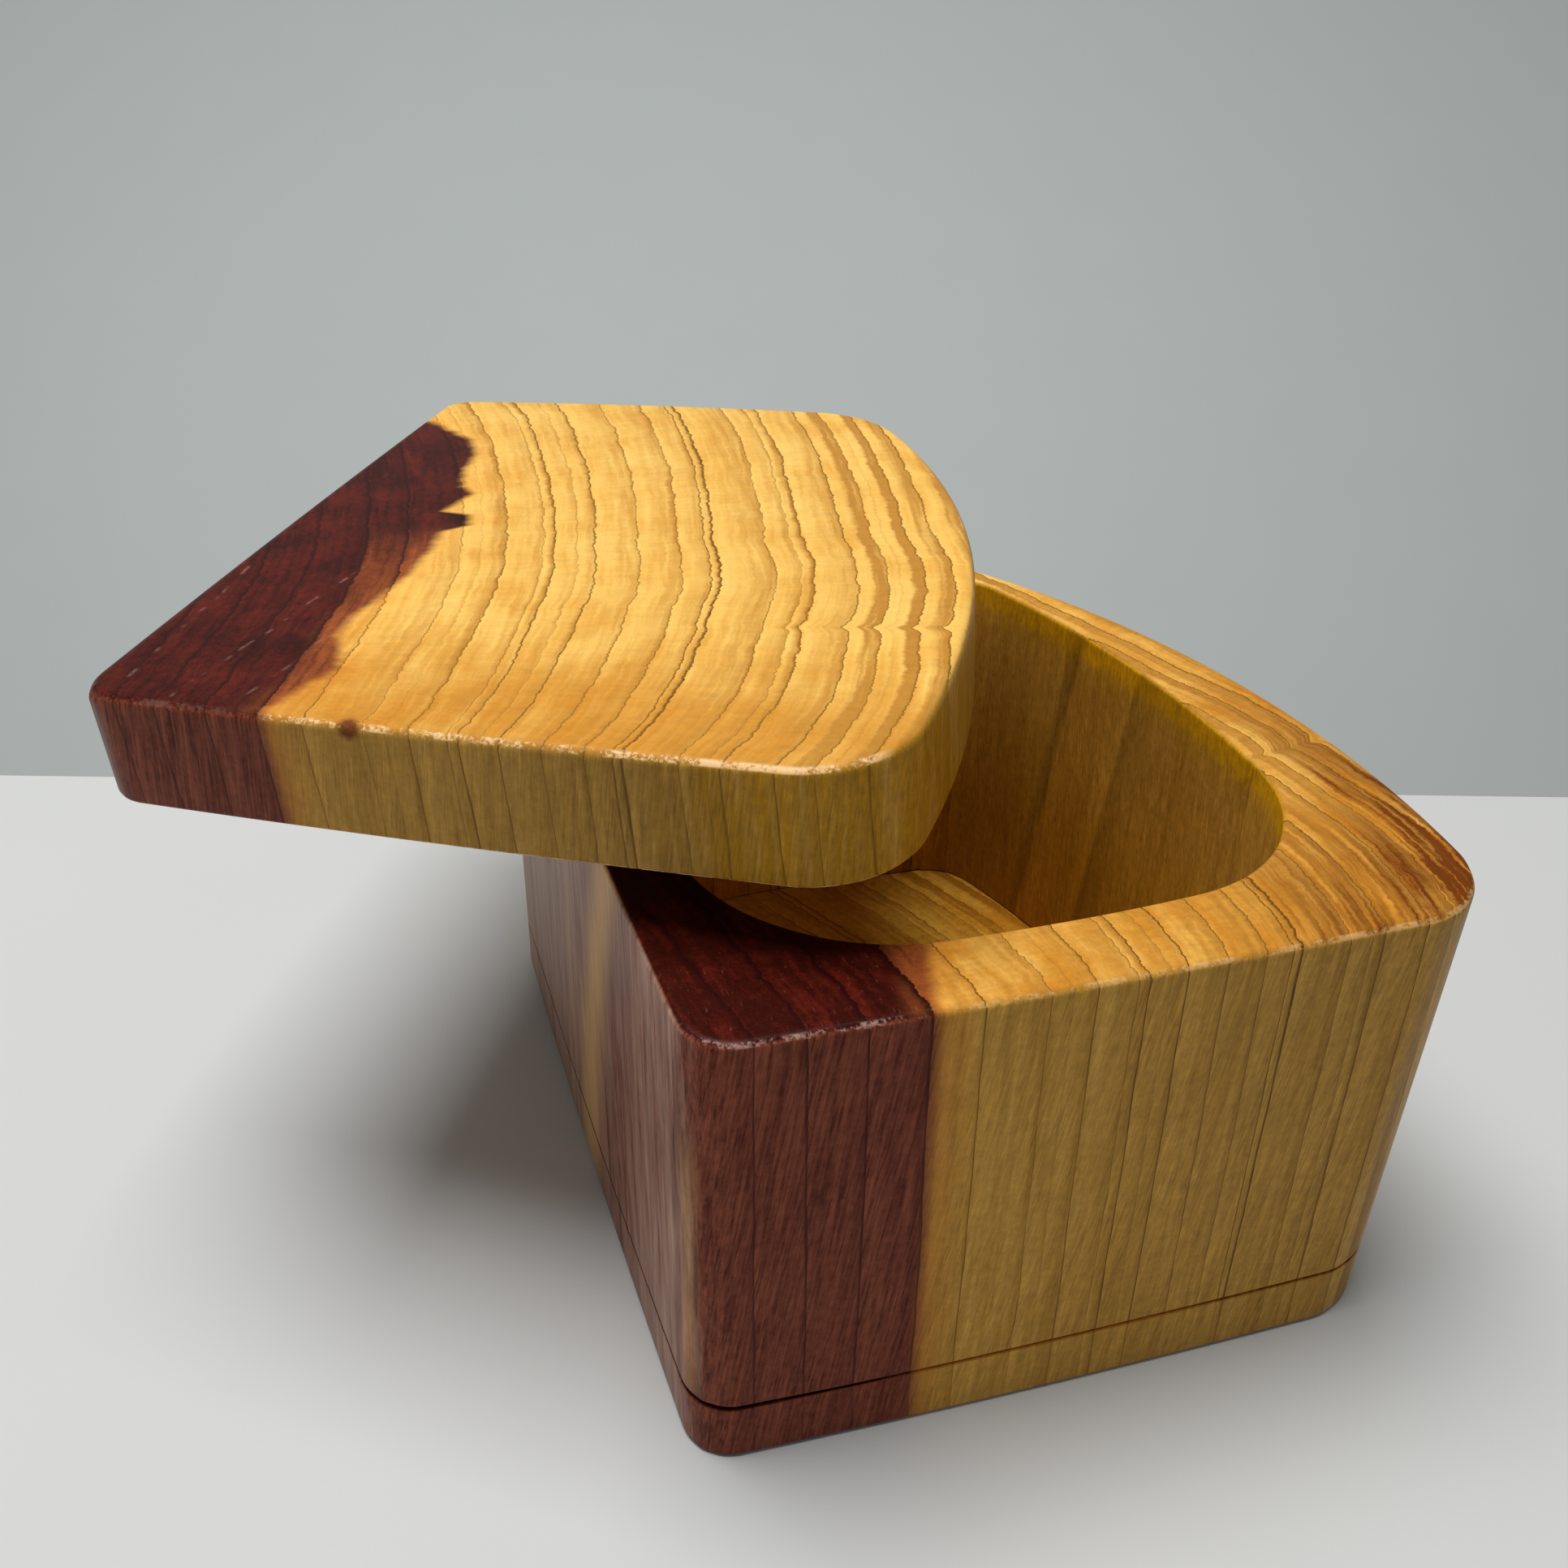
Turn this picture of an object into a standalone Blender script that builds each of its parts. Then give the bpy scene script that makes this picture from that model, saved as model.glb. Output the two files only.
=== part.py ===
"""Small keepsake box sawn from one short block of red cedar, shown open.

The block stands on end, so the growth rings lie across its top. The lid is the
block's own top slice and the base is its own bottom slice. Between them the core
was sawn out, which leaves the hollow body. The base slice is glued back on, and a
slice of the core is glued under the lid, where it drops into the body and keeps
the shut lid in place. In this pose the lid lies askew across the open body,
resting on that plug.

Outlines run anticlockwise from above: front, right, back and left corner.
Sides are counted the same way, so side 0 runs from the front to the right corner.
"""

import math

import bmesh
import bpy
from mathutils import Euler, Vector

# Block, measured between its outermost corner points
BLOCK_WIDTH = 0.1354
BLOCK_DEPTH = 0.1294
CORNER_SHARES = (
    (-0.177, -0.511),
    (0.546, -0.275),
    (0.0845, 0.489),
    (-0.4535, 0.298),
)

# Outward bow of each side and rounding of each corner
FRONT_SIDE_BOW = 0.0008
RIGHT_SIDE_BOW = 0.0131
BACK_SIDE_BOW = 0.0013
LEFT_SIDE_BOW = 0.0006
FRONT_CORNER_RADIUS = 0.0067
RIGHT_CORNER_RADIUS = 0.0135
BACK_CORNER_RADIUS = 0.0199
LEFT_CORNER_RADIUS = 0.0045

# Taper of the block: how far its foot stands from straight below the right corner
FOOT_SHIFT_LEFT = 0.0016
FOOT_SHIFT_FRONT = 0.0016

# Heights of the sawn slices
BODY_TOP_HEIGHT = 0.0700
BASE_THICKNESS = 0.0093
LID_THICKNESS = 0.0155
GLUE_LINE = 0.0003

# Cavity, set in from the straight lines between the block's corners
FRONT_WALL_AT_FRONT = 0.0132
FRONT_WALL_AT_RIGHT = 0.0149
RIGHT_INSET_AT_RIGHT = 0.0122
RIGHT_INSET_AT_BACK = -0.0015
BACK_WALL = 0.0089
LEFT_WALL = 0.0104
CAVITY_FRONT_BOW = 0.0027
CAVITY_RIGHT_BOW = 0.0064
CAVITY_BACK_BOW = 0.0025
CAVITY_LEFT_BOW = 0.0022
CAVITY_FRONT_RADIUS = 0.0277
CAVITY_RIGHT_RADIUS = 0.0249
CAVITY_BACK_RADIUS = 0.0085
CAVITY_LEFT_RADIUS = 0.0175

# Plug under the lid: the saw cut's width keeps it clear of the cavity wall
SAW_KERF = 0.0012
PLUG_EDGE_ROUND = 0.0014

# Lid laid askew on the open body, as turned and shifted from its shut place
LID_TURN = math.radians(-33.4)
LID_LEAN_SIDE = math.radians(-4.55)
LID_LEAN_FRONT = math.radians(-0.45)
LID_SHIFT_LEFT = 0.0450
LID_SHIFT_BACK = 0.0179
LID_RAISE = 0.0068
REST_GAP = 0.0003

# Hand-sanded edges: the lid's left edge is sanded most, towards its front corner
LID_ROUND = 0.0013
LID_LEFT_ROUND_AT_FRONT = 0.0026
LID_LEFT_ROUND_AT_BACK = 0.0013
LID_UNDER_ROUND = 0.0006
BODY_TOP_ROUND = 0.0011
CAVITY_RIM_ROUND = 0.0008
FOOT_ROUND = 0.0008

# Glued seam, which gapes a little round the front corner
SEAM_ROUND = 0.0003
SEAM_ROUND_AT_FRONT = 0.0010
SEAM_GAPE_REACH = 0.0220

# Fineness of the curves
ARC_STEP = math.radians(3.5)
FEWEST_ARC_STEPS = 5
ROUND_SEGMENTS = 4
SHARP_ANGLE = math.radians(38)
FLAT_ANGLE = math.radians(0.5)
STEEP_NORMAL_Z = 0.5
WELD_DISTANCE = 0.000001
CUTTER_OVERRUN = 0.0100

# Colour and roughness of each wood
LID_COLOR = (0.62, 0.36, 0.10)
LID_ROUGHNESS = 0.35
BODY_COLOR = (0.36, 0.21, 0.07)
BODY_ROUGHNESS = 0.42
CORE_COLOR = (0.30, 0.15, 0.05)
CORE_ROUGHNESS = 0.60

SIDE_BOWS = (FRONT_SIDE_BOW, RIGHT_SIDE_BOW, BACK_SIDE_BOW, LEFT_SIDE_BOW)
CORNER_RADII = (
    FRONT_CORNER_RADIUS,
    RIGHT_CORNER_RADIUS,
    BACK_CORNER_RADIUS,
    LEFT_CORNER_RADIUS,
)
CAVITY_INSETS = (
    (FRONT_WALL_AT_FRONT, FRONT_WALL_AT_RIGHT),
    (RIGHT_INSET_AT_RIGHT, RIGHT_INSET_AT_BACK),
    (BACK_WALL, BACK_WALL),
    (LEFT_WALL, LEFT_WALL),
)
CAVITY_BOWS = (CAVITY_FRONT_BOW, CAVITY_RIGHT_BOW, CAVITY_BACK_BOW, CAVITY_LEFT_BOW)
CAVITY_RADII = (
    CAVITY_FRONT_RADIUS,
    CAVITY_RIGHT_RADIUS,
    CAVITY_BACK_RADIUS,
    CAVITY_LEFT_RADIUS,
)


# Outlines


def block_corners():
    """Corner points of the block before they are rounded."""
    return [Vector((x * BLOCK_WIDTH, y * BLOCK_DEPTH)) for x, y in CORNER_SHARES]


def left_normal(start, end):
    """Unit vector square to a side, pointing into the block."""
    along = (end - start).normalized()
    return Vector((-along.y, along.x))


def line_crossing(line_a, line_b):
    """Point where two lines cross, each given by two of its points."""
    start, along = line_a[0], line_a[1] - line_a[0]
    other, other_along = line_b[0], line_b[1] - line_b[0]
    shift = other - start
    travel = shift.cross(other_along) / along.cross(other_along)
    return start + along * travel


def inset_corners(corners, insets):
    """Corners of an outline whose sides lie inside the given one by two insets each."""
    lines = []
    for index, (at_start, at_end) in enumerate(insets):
        start = corners[index]
        end = corners[(index + 1) % len(corners)]
        inwards = left_normal(start, end)
        lines.append((start + inwards * at_start, end + inwards * at_end))
    return [line_crossing(lines[index - 1], lines[index]) for index in range(len(lines))]


def side_arc(start, end, bow):
    """Centre and radius of the arc that bows outwards between two corners."""
    half_chord = (end - start).length / 2
    radius = (half_chord ** 2 + bow ** 2) / (2 * bow)
    centre = (start + end) / 2 + left_normal(start, end) * (radius - bow)
    return centre, radius


def corner_centre(arc_before, arc_after, radius, corner):
    """Centre of the rounding that touches both arcs from inside."""
    first_centre, first_reach = arc_before[0], arc_before[1] - radius
    second_centre, second_reach = arc_after[0], arc_after[1] - radius
    between = second_centre - first_centre
    span = between.length
    along = (span ** 2 + first_reach ** 2 - second_reach ** 2) / (2 * span)
    across = math.sqrt(max(first_reach ** 2 - along ** 2, 0))
    direction = between.normalized()
    sideways = Vector((-direction.y, direction.x)) * across
    foot = first_centre + direction * along
    return min((foot + sideways, foot - sideways), key=lambda point: (point - corner).length)


def arc_points(centre, radius, start, end):
    """Points along an arc, without its end point."""
    first = math.atan2(start.y - centre.y, start.x - centre.x)
    last = math.atan2(end.y - centre.y, end.x - centre.x)
    sweep = (last - first) % math.tau
    steps = max(FEWEST_ARC_STEPS, math.ceil(sweep / ARC_STEP))
    angles = [first + sweep * step / steps for step in range(steps)]
    return [centre + Vector((math.cos(angle), math.sin(angle))) * radius for angle in angles]


def rounded_outline(corners, bows, radii):
    """Closed outline of bowed sides with rounded corners, anticlockwise."""
    count = len(corners)
    arcs = [side_arc(corners[i], corners[(i + 1) % count], bows[i]) for i in range(count)]
    roundings = []
    for index in range(count):
        before, after, radius = arcs[index - 1], arcs[index], radii[index]
        centre = corner_centre(before, after, radius, corners[index])
        first = centre + (centre - before[0]).normalized() * radius
        last = centre + (centre - after[0]).normalized() * radius
        roundings.append((centre, first, last))
    points = []
    for index in range(count):
        centre, first, last = roundings[index]
        next_first = roundings[(index + 1) % count][1]
        points += arc_points(centre, radii[index], first, last)
        points += arc_points(arcs[index][0], arcs[index][1], last, next_first)
    return points


def block_outline():
    """Outline shared by the lid, the body and the base."""
    return rounded_outline(block_corners(), SIDE_BOWS, CORNER_RADII)


def cavity_outline(clearance=0):
    """Outline of the sawn-out core, drawn in all round by a clearance."""
    insets = [(start + clearance, end + clearance) for start, end in CAVITY_INSETS]
    radii = [radius - clearance for radius in CAVITY_RADII]
    return rounded_outline(inset_corners(block_corners(), insets), CAVITY_BOWS, radii)


# Solids


def new_collection(name):
    """Empty collection linked to the scene."""
    collection = bpy.data.collections.new(name)
    bpy.context.scene.collection.children.link(collection)
    return collection


def evaluated_copy(source, name, collection):
    """Mesh object with the shape that the source object shows, in its place."""
    bpy.context.view_layer.update()
    evaluated = source.evaluated_get(bpy.context.evaluated_depsgraph_get())
    mesh = bpy.data.meshes.new_from_object(evaluated)
    mesh.name = name
    copy = bpy.data.objects.new(name, mesh)
    collection.objects.link(copy)
    copy.parent = source.parent
    copy.matrix_world = source.matrix_world
    return copy


def is_steep(face):
    """Whether a face is part of a side and not of a cap."""
    return abs(face.normal.z) < STEEP_NORMAL_Z


def join_cap_faces(mesh):
    """Weld the caps to the side and make each flat cap one face."""
    shape = bmesh.new()
    shape.from_mesh(mesh)
    bmesh.ops.remove_doubles(shape, verts=shape.verts, dist=WELD_DISTANCE)
    flat_edges = [edge for edge in shape.edges if edge.calc_face_angle(0) < FLAT_ANGLE]
    cap_edges = [edge for edge in flat_edges if not is_steep(edge.link_faces[0])]
    bmesh.ops.dissolve_edges(shape, edges=cap_edges)
    shape.to_mesh(mesh)
    shape.free()


def sawn_slice(name, outline, bottom, top, collection):
    """Straight-sided slice of wood between two heights, cut along an outline."""
    curve = bpy.data.curves.new(name + "_outline", "CURVE")
    curve.dimensions = "2D"
    curve.fill_mode = "BOTH"
    curve.extrude = (top - bottom) / 2
    spline = curve.splines.new("POLY")
    spline.points.add(len(outline) - 1)
    for spline_point, point in zip(spline.points, outline):
        spline_point.co = (point.x, point.y, 0, 1)
    spline.use_cyclic_u = True
    guide = bpy.data.objects.new(name + "_outline", curve)
    guide.location.z = (top + bottom) / 2
    collection.objects.link(guide)
    wood = evaluated_copy(guide, name, collection)
    bpy.data.objects.remove(guide)
    join_cap_faces(wood.data)
    return wood


def taper(wood):
    """Move a slice's sides by height, most at the right corner and not at the front corner."""
    front, right = block_corners()[:2]
    along = right - front
    for vertex in wood.data.vertices:
        height = (wood.matrix_world @ vertex.co).z
        drop = (BODY_TOP_HEIGHT - height) / BODY_TOP_HEIGHT
        share = (vertex.co.xy - front).dot(along) / along.length_squared * drop
        vertex.co.x -= FOOT_SHIFT_LEFT * share
        vertex.co.y -= FOOT_SHIFT_FRONT * share


def cut(wood, cutter, collection):
    """The wood without the cutter's volume, as a new mesh object of the same name."""
    cutter.hide_render = True
    cutter.display_type = "WIRE"
    saw = wood.modifiers.new("saw_cut", "BOOLEAN")
    saw.operation = "DIFFERENCE"
    saw.solver = "EXACT"
    saw.object = cutter
    name = wood.name
    wood.name = name + "_uncut"
    result = evaluated_copy(wood, name, collection)
    bpy.data.objects.remove(wood)
    return result


def round_edges(wood, radius_at):
    """Round the sharp edges of a solid, by a rule of their place and the way that they face."""
    shape = bmesh.new()
    shape.from_mesh(wood.data)
    weight = shape.edges.layers.float.new("bevel_weight_edge")
    sharp = [edge for edge in shape.edges if edge.calc_face_angle(0) > SHARP_ANGLE]
    radii = [radius_at(edge_middle(edge), edge_facing(edge)) for edge in sharp]
    widest = max(radii)
    for edge, radius in zip(sharp, radii):
        edge[weight] = radius / widest
    shape.to_mesh(wood.data)
    shape.free()
    rounding = wood.modifiers.new("sanded_edges", "BEVEL")
    rounding.limit_method = "WEIGHT"
    rounding.width = widest
    rounding.segments = ROUND_SEGMENTS
    rounding.use_clamp_overlap = False


def edge_middle(edge):
    """Middle of an edge."""
    return (edge.verts[0].co + edge.verts[1].co) / 2


def edge_facing(edge):
    """Level direction that the side at an edge faces."""
    steepest = min(edge.link_faces, key=lambda face: abs(face.normal.z))
    return steepest.normal.xy.normalized()


def blend(low, high, share):
    """Value between two sizes, held at each of them outside the range from 0 to 1."""
    return low + (high - low) * min(max(share, 0), 1)


def finish(wood, material):
    """Give a piece its wood and its shading."""
    wood.data.materials.clear()
    wood.data.materials.append(material)
    wood.data.shade_smooth()
    wood.data.set_sharp_from_angle(angle=SHARP_ANGLE)


def wood_material(name, color, roughness):
    """Plain varnished wood of one colour."""
    material = bpy.data.materials.new(name)
    material.use_nodes = True
    surface = material.node_tree.nodes["Principled BSDF"]
    surface.inputs["Base Color"].default_value = (*color, 1)
    surface.inputs["Roughness"].default_value = roughness
    surface.inputs["Metallic"].default_value = 0
    return material


# Pieces


def build_body(parts, cutters):
    """Hollow middle of the block, sawn right through, with a rounded rim."""
    bottom = BASE_THICKNESS + GLUE_LINE
    body = sawn_slice("body", block_outline(), bottom, BODY_TOP_HEIGHT, parts)
    taper(body)
    cut_bottom, cut_top = bottom - CUTTER_OVERRUN, BODY_TOP_HEIGHT + CUTTER_OVERRUN
    core = sawn_slice("core_cutter", cavity_outline(), cut_bottom, cut_top, cutters)
    body = cut(body, core, parts)
    front = block_corners()[0]

    def radius_at(middle, facing):
        outside = middle.xy.dot(facing) > 0
        if middle.z > 0:
            return BODY_TOP_ROUND if outside else CAVITY_RIM_ROUND
        if not outside:
            return SEAM_ROUND
        share = (middle.xy - front).length / SEAM_GAPE_REACH
        return blend(SEAM_ROUND_AT_FRONT, SEAM_ROUND, share)

    round_edges(body, radius_at)
    return body


def build_base(parts):
    """Bottom slice of the block, glued back on as the cavity's floor."""
    base = sawn_slice("base_slice", block_outline(), 0, BASE_THICKNESS, parts)
    taper(base)
    round_edges(base, lambda middle, facing: SEAM_ROUND if middle.z > 0 else FOOT_ROUND)
    return base


def place_lid():
    """Empty on the line that the lid lifts along, turned and leaning as the lid lies."""
    pose = bpy.data.objects.new("lid_pose", None)
    pose.location = (-LID_SHIFT_LEFT, LID_SHIFT_BACK, BODY_TOP_HEIGHT + LID_RAISE)
    lean = Euler((LID_LEAN_FRONT, LID_LEAN_SIDE, 0)).to_quaternion()
    turn = Euler((0, 0, LID_TURN)).to_quaternion()
    pose.rotation_euler = (lean @ turn).to_euler()
    return pose


def build_lid(parts, pose):
    """Top slice of the block, its left edge sanded down towards the front corner."""
    lid = sawn_slice("lid", block_outline(), 0, LID_THICKNESS, parts)
    lid.parent = pose
    corners = block_corners()
    front, left = corners[0], corners[-1]
    leftwards = -left_normal(left, front)
    to_left = left - front

    def radius_at(middle, facing):
        if middle.z < 0:
            return LID_UNDER_ROUND
        share = (middle.xy - front).dot(to_left) / to_left.length_squared
        left_round = blend(LID_LEFT_ROUND_AT_FRONT, LID_LEFT_ROUND_AT_BACK, share)
        return blend(LID_ROUND, left_round, facing.dot(leftwards))

    round_edges(lid, radius_at)
    return lid


def build_plug(parts, cutters, pose):
    """Slice of the core under the lid, its underside sawn so that it lies flat on the body."""
    drop = LID_RAISE + BLOCK_WIDTH * math.tan(abs(LID_LEAN_SIDE))
    plug = sawn_slice("lid_plug", cavity_outline(SAW_KERF), -drop, -GLUE_LINE, parts)
    plug.parent = pose
    bpy.ops.mesh.primitive_cube_add(size=1)
    saw_cut = bpy.context.object
    saw_cut.name = "plug_cutter"
    saw_cut.scale = (BLOCK_WIDTH + BLOCK_DEPTH, BLOCK_WIDTH + BLOCK_DEPTH, BODY_TOP_HEIGHT)
    saw_cut.location = (pose.location.x, pose.location.y, BODY_TOP_HEIGHT / 2 + REST_GAP)
    for owner in list(saw_cut.users_collection):
        owner.objects.unlink(saw_cut)
    cutters.objects.link(saw_cut)
    plug = cut(plug, saw_cut, parts)
    near_top = (drop - GLUE_LINE) / 2 - GLUE_LINE
    round_edges(plug, lambda middle, facing: 0 if middle.z > near_top else PLUG_EDGE_ROUND)
    return plug


def main():
    """Build the box with its lid askew."""
    for item in list(bpy.data.objects):
        bpy.data.objects.remove(item)
    parts = new_collection("cedar_box")
    cutters = new_collection("cutters")
    pose = place_lid()
    parts.objects.link(pose)
    gold = wood_material("golden_sapwood", LID_COLOR, LID_ROUGHNESS)
    olive = wood_material("olive_sapwood", BODY_COLOR, BODY_ROUGHNESS)
    bare = wood_material("bare_core", CORE_COLOR, CORE_ROUGHNESS)
    finish(build_base(parts), olive)
    finish(build_body(parts, cutters), olive)
    finish(build_lid(parts, pose), gold)
    finish(build_plug(parts, cutters, pose), bare)


if __name__ == "__main__":
    main()
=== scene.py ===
"""Cedar keepsake box with its lid lying askew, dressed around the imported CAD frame.

The box was sawn from one short block of red cedar. All its pieces share one wood, which is
worked out in the block's own millimetres, so the growth rings run through the lid, the body
and the base as they did in the tree. The lid and its plug look their place in the block up
through the pose in which the lid lies.

Outlines run anticlockwise from above, from the front corner by the right, back and left ones.
"""

import logging
import math
from dataclasses import dataclass
from enum import Enum, IntEnum
from typing import Any, Callable, Optional, Sequence, Union

import bpy
from mathutils import Euler, Matrix, Vector


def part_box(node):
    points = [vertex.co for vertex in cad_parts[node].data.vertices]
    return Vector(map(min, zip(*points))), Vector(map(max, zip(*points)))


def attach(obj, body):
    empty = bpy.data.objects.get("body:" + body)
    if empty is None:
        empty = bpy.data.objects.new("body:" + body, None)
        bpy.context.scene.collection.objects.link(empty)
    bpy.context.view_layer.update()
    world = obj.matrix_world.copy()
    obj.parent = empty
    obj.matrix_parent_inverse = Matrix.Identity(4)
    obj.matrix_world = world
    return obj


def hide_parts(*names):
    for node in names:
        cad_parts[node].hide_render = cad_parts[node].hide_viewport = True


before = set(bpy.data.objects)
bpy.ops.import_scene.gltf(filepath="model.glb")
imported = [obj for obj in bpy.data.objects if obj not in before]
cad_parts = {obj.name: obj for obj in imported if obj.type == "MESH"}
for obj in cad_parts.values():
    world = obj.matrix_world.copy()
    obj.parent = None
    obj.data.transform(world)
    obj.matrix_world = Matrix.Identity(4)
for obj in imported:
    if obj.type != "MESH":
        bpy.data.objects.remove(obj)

LOG = logging.getLogger("cedar_box")
PER_METRE = 1000.0

Color = tuple[float, float, float]
Point = tuple[float, float, float]
Span = tuple[float, float]
Line = tuple[Span, ...]
Number = Union[float, "Socket"]


class BodyName(Enum):
    """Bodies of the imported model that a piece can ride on."""

    BOX = "box"
    LOOSE_LID = "loose_lid"


class WoodSlot(Enum):
    """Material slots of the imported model."""

    LID = "lid_wood"
    BODY = "body_wood"
    BASE = "base_wood"
    CORE = "core_wood"


class Side(IntEnum):
    """Sides of the block that the wood is measured from, by the number of their first corner."""

    FRONT = 0
    RIGHT = 1
    LEFT = 3


# Shape of the block


def left_normal(start: Vector, end: Vector) -> Vector:
    """Give the unit vector square to a line, on its left."""
    along = (end - start).normalized()
    return Vector((-along.y, along.x))


def line_crossing(line_a: Sequence[Vector], line_b: Sequence[Vector]) -> Vector:
    """Find where two lines cross.

    Args:
        line_a: two points of the first line.
        line_b: two points of the second.

    Returns:
        The crossing.
    """
    start, along = line_a[0], line_a[1] - line_a[0]
    other, other_along = line_b[0], line_b[1] - line_b[0]
    travel = (other - start).cross(other_along) / along.cross(other_along)
    return start + along * travel


def arc_points(
    centre: Vector, radius: float, start: Vector, end: Vector, step: float
) -> list[Vector]:
    """Place points along an arc.

    Args:
        centre: centre of the arc.
        radius: radius of the arc.
        start: first point.
        end: last point, which is left out.
        step: largest turn between two points, in radians.

    Returns:
        Points from the start up to the end.
    """
    fewest = 12
    first, last = (math.atan2(*(spot - centre).yx) for spot in (start, end))
    sweep = (last - first) % math.tau
    steps = max(fewest, math.ceil(sweep / step))
    angles = [first + sweep * index / steps for index in range(steps)]
    return [centre + Vector((math.cos(a), math.sin(a))) * radius for a in angles]


@dataclass(frozen=True)
class Outline:
    """Closed outline of four bowed sides with rounded corners, in metres.

    Args:
        corners: corner points before they are rounded.
        bows: how far each side stands out from its straight line.
        radii: radius of each rounded corner.
    """

    corners: tuple[Vector, ...]
    bows: tuple[float, ...]
    radii: tuple[float, ...]

    def side_arc(self, index: int) -> tuple[Vector, float]:
        """Find the arc of one side.

        Args:
            index: number of the side.

        Returns:
            Centre and radius of the arc.
        """
        start, end = self.corners[index], self.corners[(index + 1) % len(self.corners)]
        bow = self.bows[index]
        half_chord = (end - start).length / 2
        radius = (half_chord ** 2 + bow ** 2) / (2 * bow)
        return (start + end) / 2 + left_normal(start, end) * (radius - bow), radius

    def corner_centre(self, index: int) -> Vector:
        """Find the centre of one corner's rounding.

        Args:
            index: number of the corner.

        Returns:
            Centre of the circle that touches both neighbouring arcs from inside.
        """
        arcs = (self.side_arc(index - 1), self.side_arc(index))
        reaches = [radius - self.radii[index] for _, radius in arcs]
        between = arcs[1][0] - arcs[0][0]
        span = between.length
        along = (span ** 2 + reaches[0] ** 2 - reaches[1] ** 2) / (2 * span)
        direction = between.normalized()
        sideways = Vector((-direction.y, direction.x))
        sideways *= math.sqrt(max(reaches[0] ** 2 - along ** 2, 0))
        foot = arcs[0][0] + direction * along
        corner = self.corners[index]
        return min((foot + sideways, foot - sideways), key=lambda spot: (spot - corner).length)

    def points(self, step: float) -> list[Vector]:
        """Walk once round the outline.

        Args:
            step: largest turn between two neighbouring points, in radians.

        Returns:
            Points along the outline.
        """
        turns = []
        for index, radius in enumerate(self.radii):
            centre = self.corner_centre(index)
            sides = (self.side_arc(index - 1)[0], self.side_arc(index)[0])
            turns.append([centre + (centre - side).normalized() * radius for side in sides])
        walk = []
        for index, (first, last) in enumerate(turns):
            beyond = turns[(index + 1) % len(turns)][0]
            walk += arc_points(self.corner_centre(index), self.radii[index], first, last, step)
            walk += arc_points(*self.side_arc(index), last, beyond, step)
        return walk


@dataclass(frozen=True)
class BlockShape:
    """Sizes of the sawn block in plan, in metres."""

    width: float = 0.1354
    depth: float = 0.1294
    corner_shares: Line = (
        (-0.177, -0.511), (0.546, -0.275), (0.0845, 0.489), (-0.4535, 0.298),
    )
    side_bows: tuple[float, ...] = (0.0008, 0.0131, 0.0013, 0.0006)
    corner_radii: tuple[float, ...] = (0.0067, 0.0135, 0.0199, 0.0045)
    cavity_insets: Line = (
        (0.0132, 0.0149), (0.0122, -0.0015), (0.0089, 0.0089), (0.0104, 0.0104),
    )
    cavity_bows: tuple[float, ...] = (0.0027, 0.0064, 0.0025, 0.0022)
    cavity_radii: tuple[float, ...] = (0.0277, 0.0249, 0.0085, 0.0175)
    foot_shift: Point = (0.0016, 0.0016, 0)

    def corners(self) -> tuple[Vector, ...]:
        """Give the corner points of the block before they are rounded."""
        return tuple(Vector((x * self.width, y * self.depth)) for x, y in self.corner_shares)

    def outline(self) -> Outline:
        """Give the outline shared by the lid, the body and the base."""
        return Outline(self.corners(), self.side_bows, self.corner_radii)

    def cavity(self, clearance: float = 0) -> Outline:
        """Give the outline of the sawn-out core.

        Args:
            clearance: how far the outline is drawn in all round.

        Returns:
            Outline of the core.
        """
        corners = self.corners()
        lines = []
        for start, end, insets in zip(corners, corners[1:] + corners[:1], self.cavity_insets):
            inwards = left_normal(start, end)
            ends = zip((start, end), insets)
            lines.append([spot + inwards * (inset + clearance) for spot, inset in ends])
        inner = tuple(line_crossing(lines[i - 1], lines[i]) for i in range(len(lines)))
        radii = tuple(radius - clearance for radius in self.cavity_radii)
        return Outline(inner, self.cavity_bows, radii)

    def tapered(self, point: Vector, top: float) -> Vector:
        """Move a point of the outside to where the block's taper puts it.

        Args:
            point: place in the straight block.
            top: height at which nothing moves.

        Returns:
            Place in the tapered block.
        """
        front, right = self.corners()[:2]
        along = right - front
        drop = (top - point.z) / top
        share = (point.xy - front).dot(along) / along.length_squared * drop
        return point - Vector(self.foot_shift) * share


# Profiles of walls, as pairs of how far a row of points is drawn in and its height

Profile = list[Span]
ProfileRule = Callable[[Vector, Vector], Profile]


def quarter_turn(segments: int) -> list[Span]:
    """Step through a quarter turn.

    Args:
        segments: number of steps.

    Returns:
        The values of 1 - sine and 1 - cosine after each step.
    """
    turns = [math.pi / 2 * step / segments for step in range(segments + 1)]
    return [(1 - math.sin(turn), 1 - math.cos(turn)) for turn in turns]


def rounded_profile(low: Span, top: Span, segments: int, rows: int) -> Profile:
    """Draw a straight wall with two rounded edges.

    Args:
        low: height of the underside and radius of its edge.
        top: height of the top and radius of its edge.
        segments: steps across each rounding.
        rows: steps up the straight part.

    Returns:
        The profile from the underside up.
    """
    turns = quarter_turn(segments)
    foot = [(low[1] * falling, low[0] + low[1] * rising) for falling, rising in turns]
    head = [(top[1] * rising, top[0] - top[1] * falling) for falling, rising in turns]
    wall = [(0.0, blend(foot[-1][1], head[0][1], row / rows)) for row in range(1, rows)]
    return foot + wall + head


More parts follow.
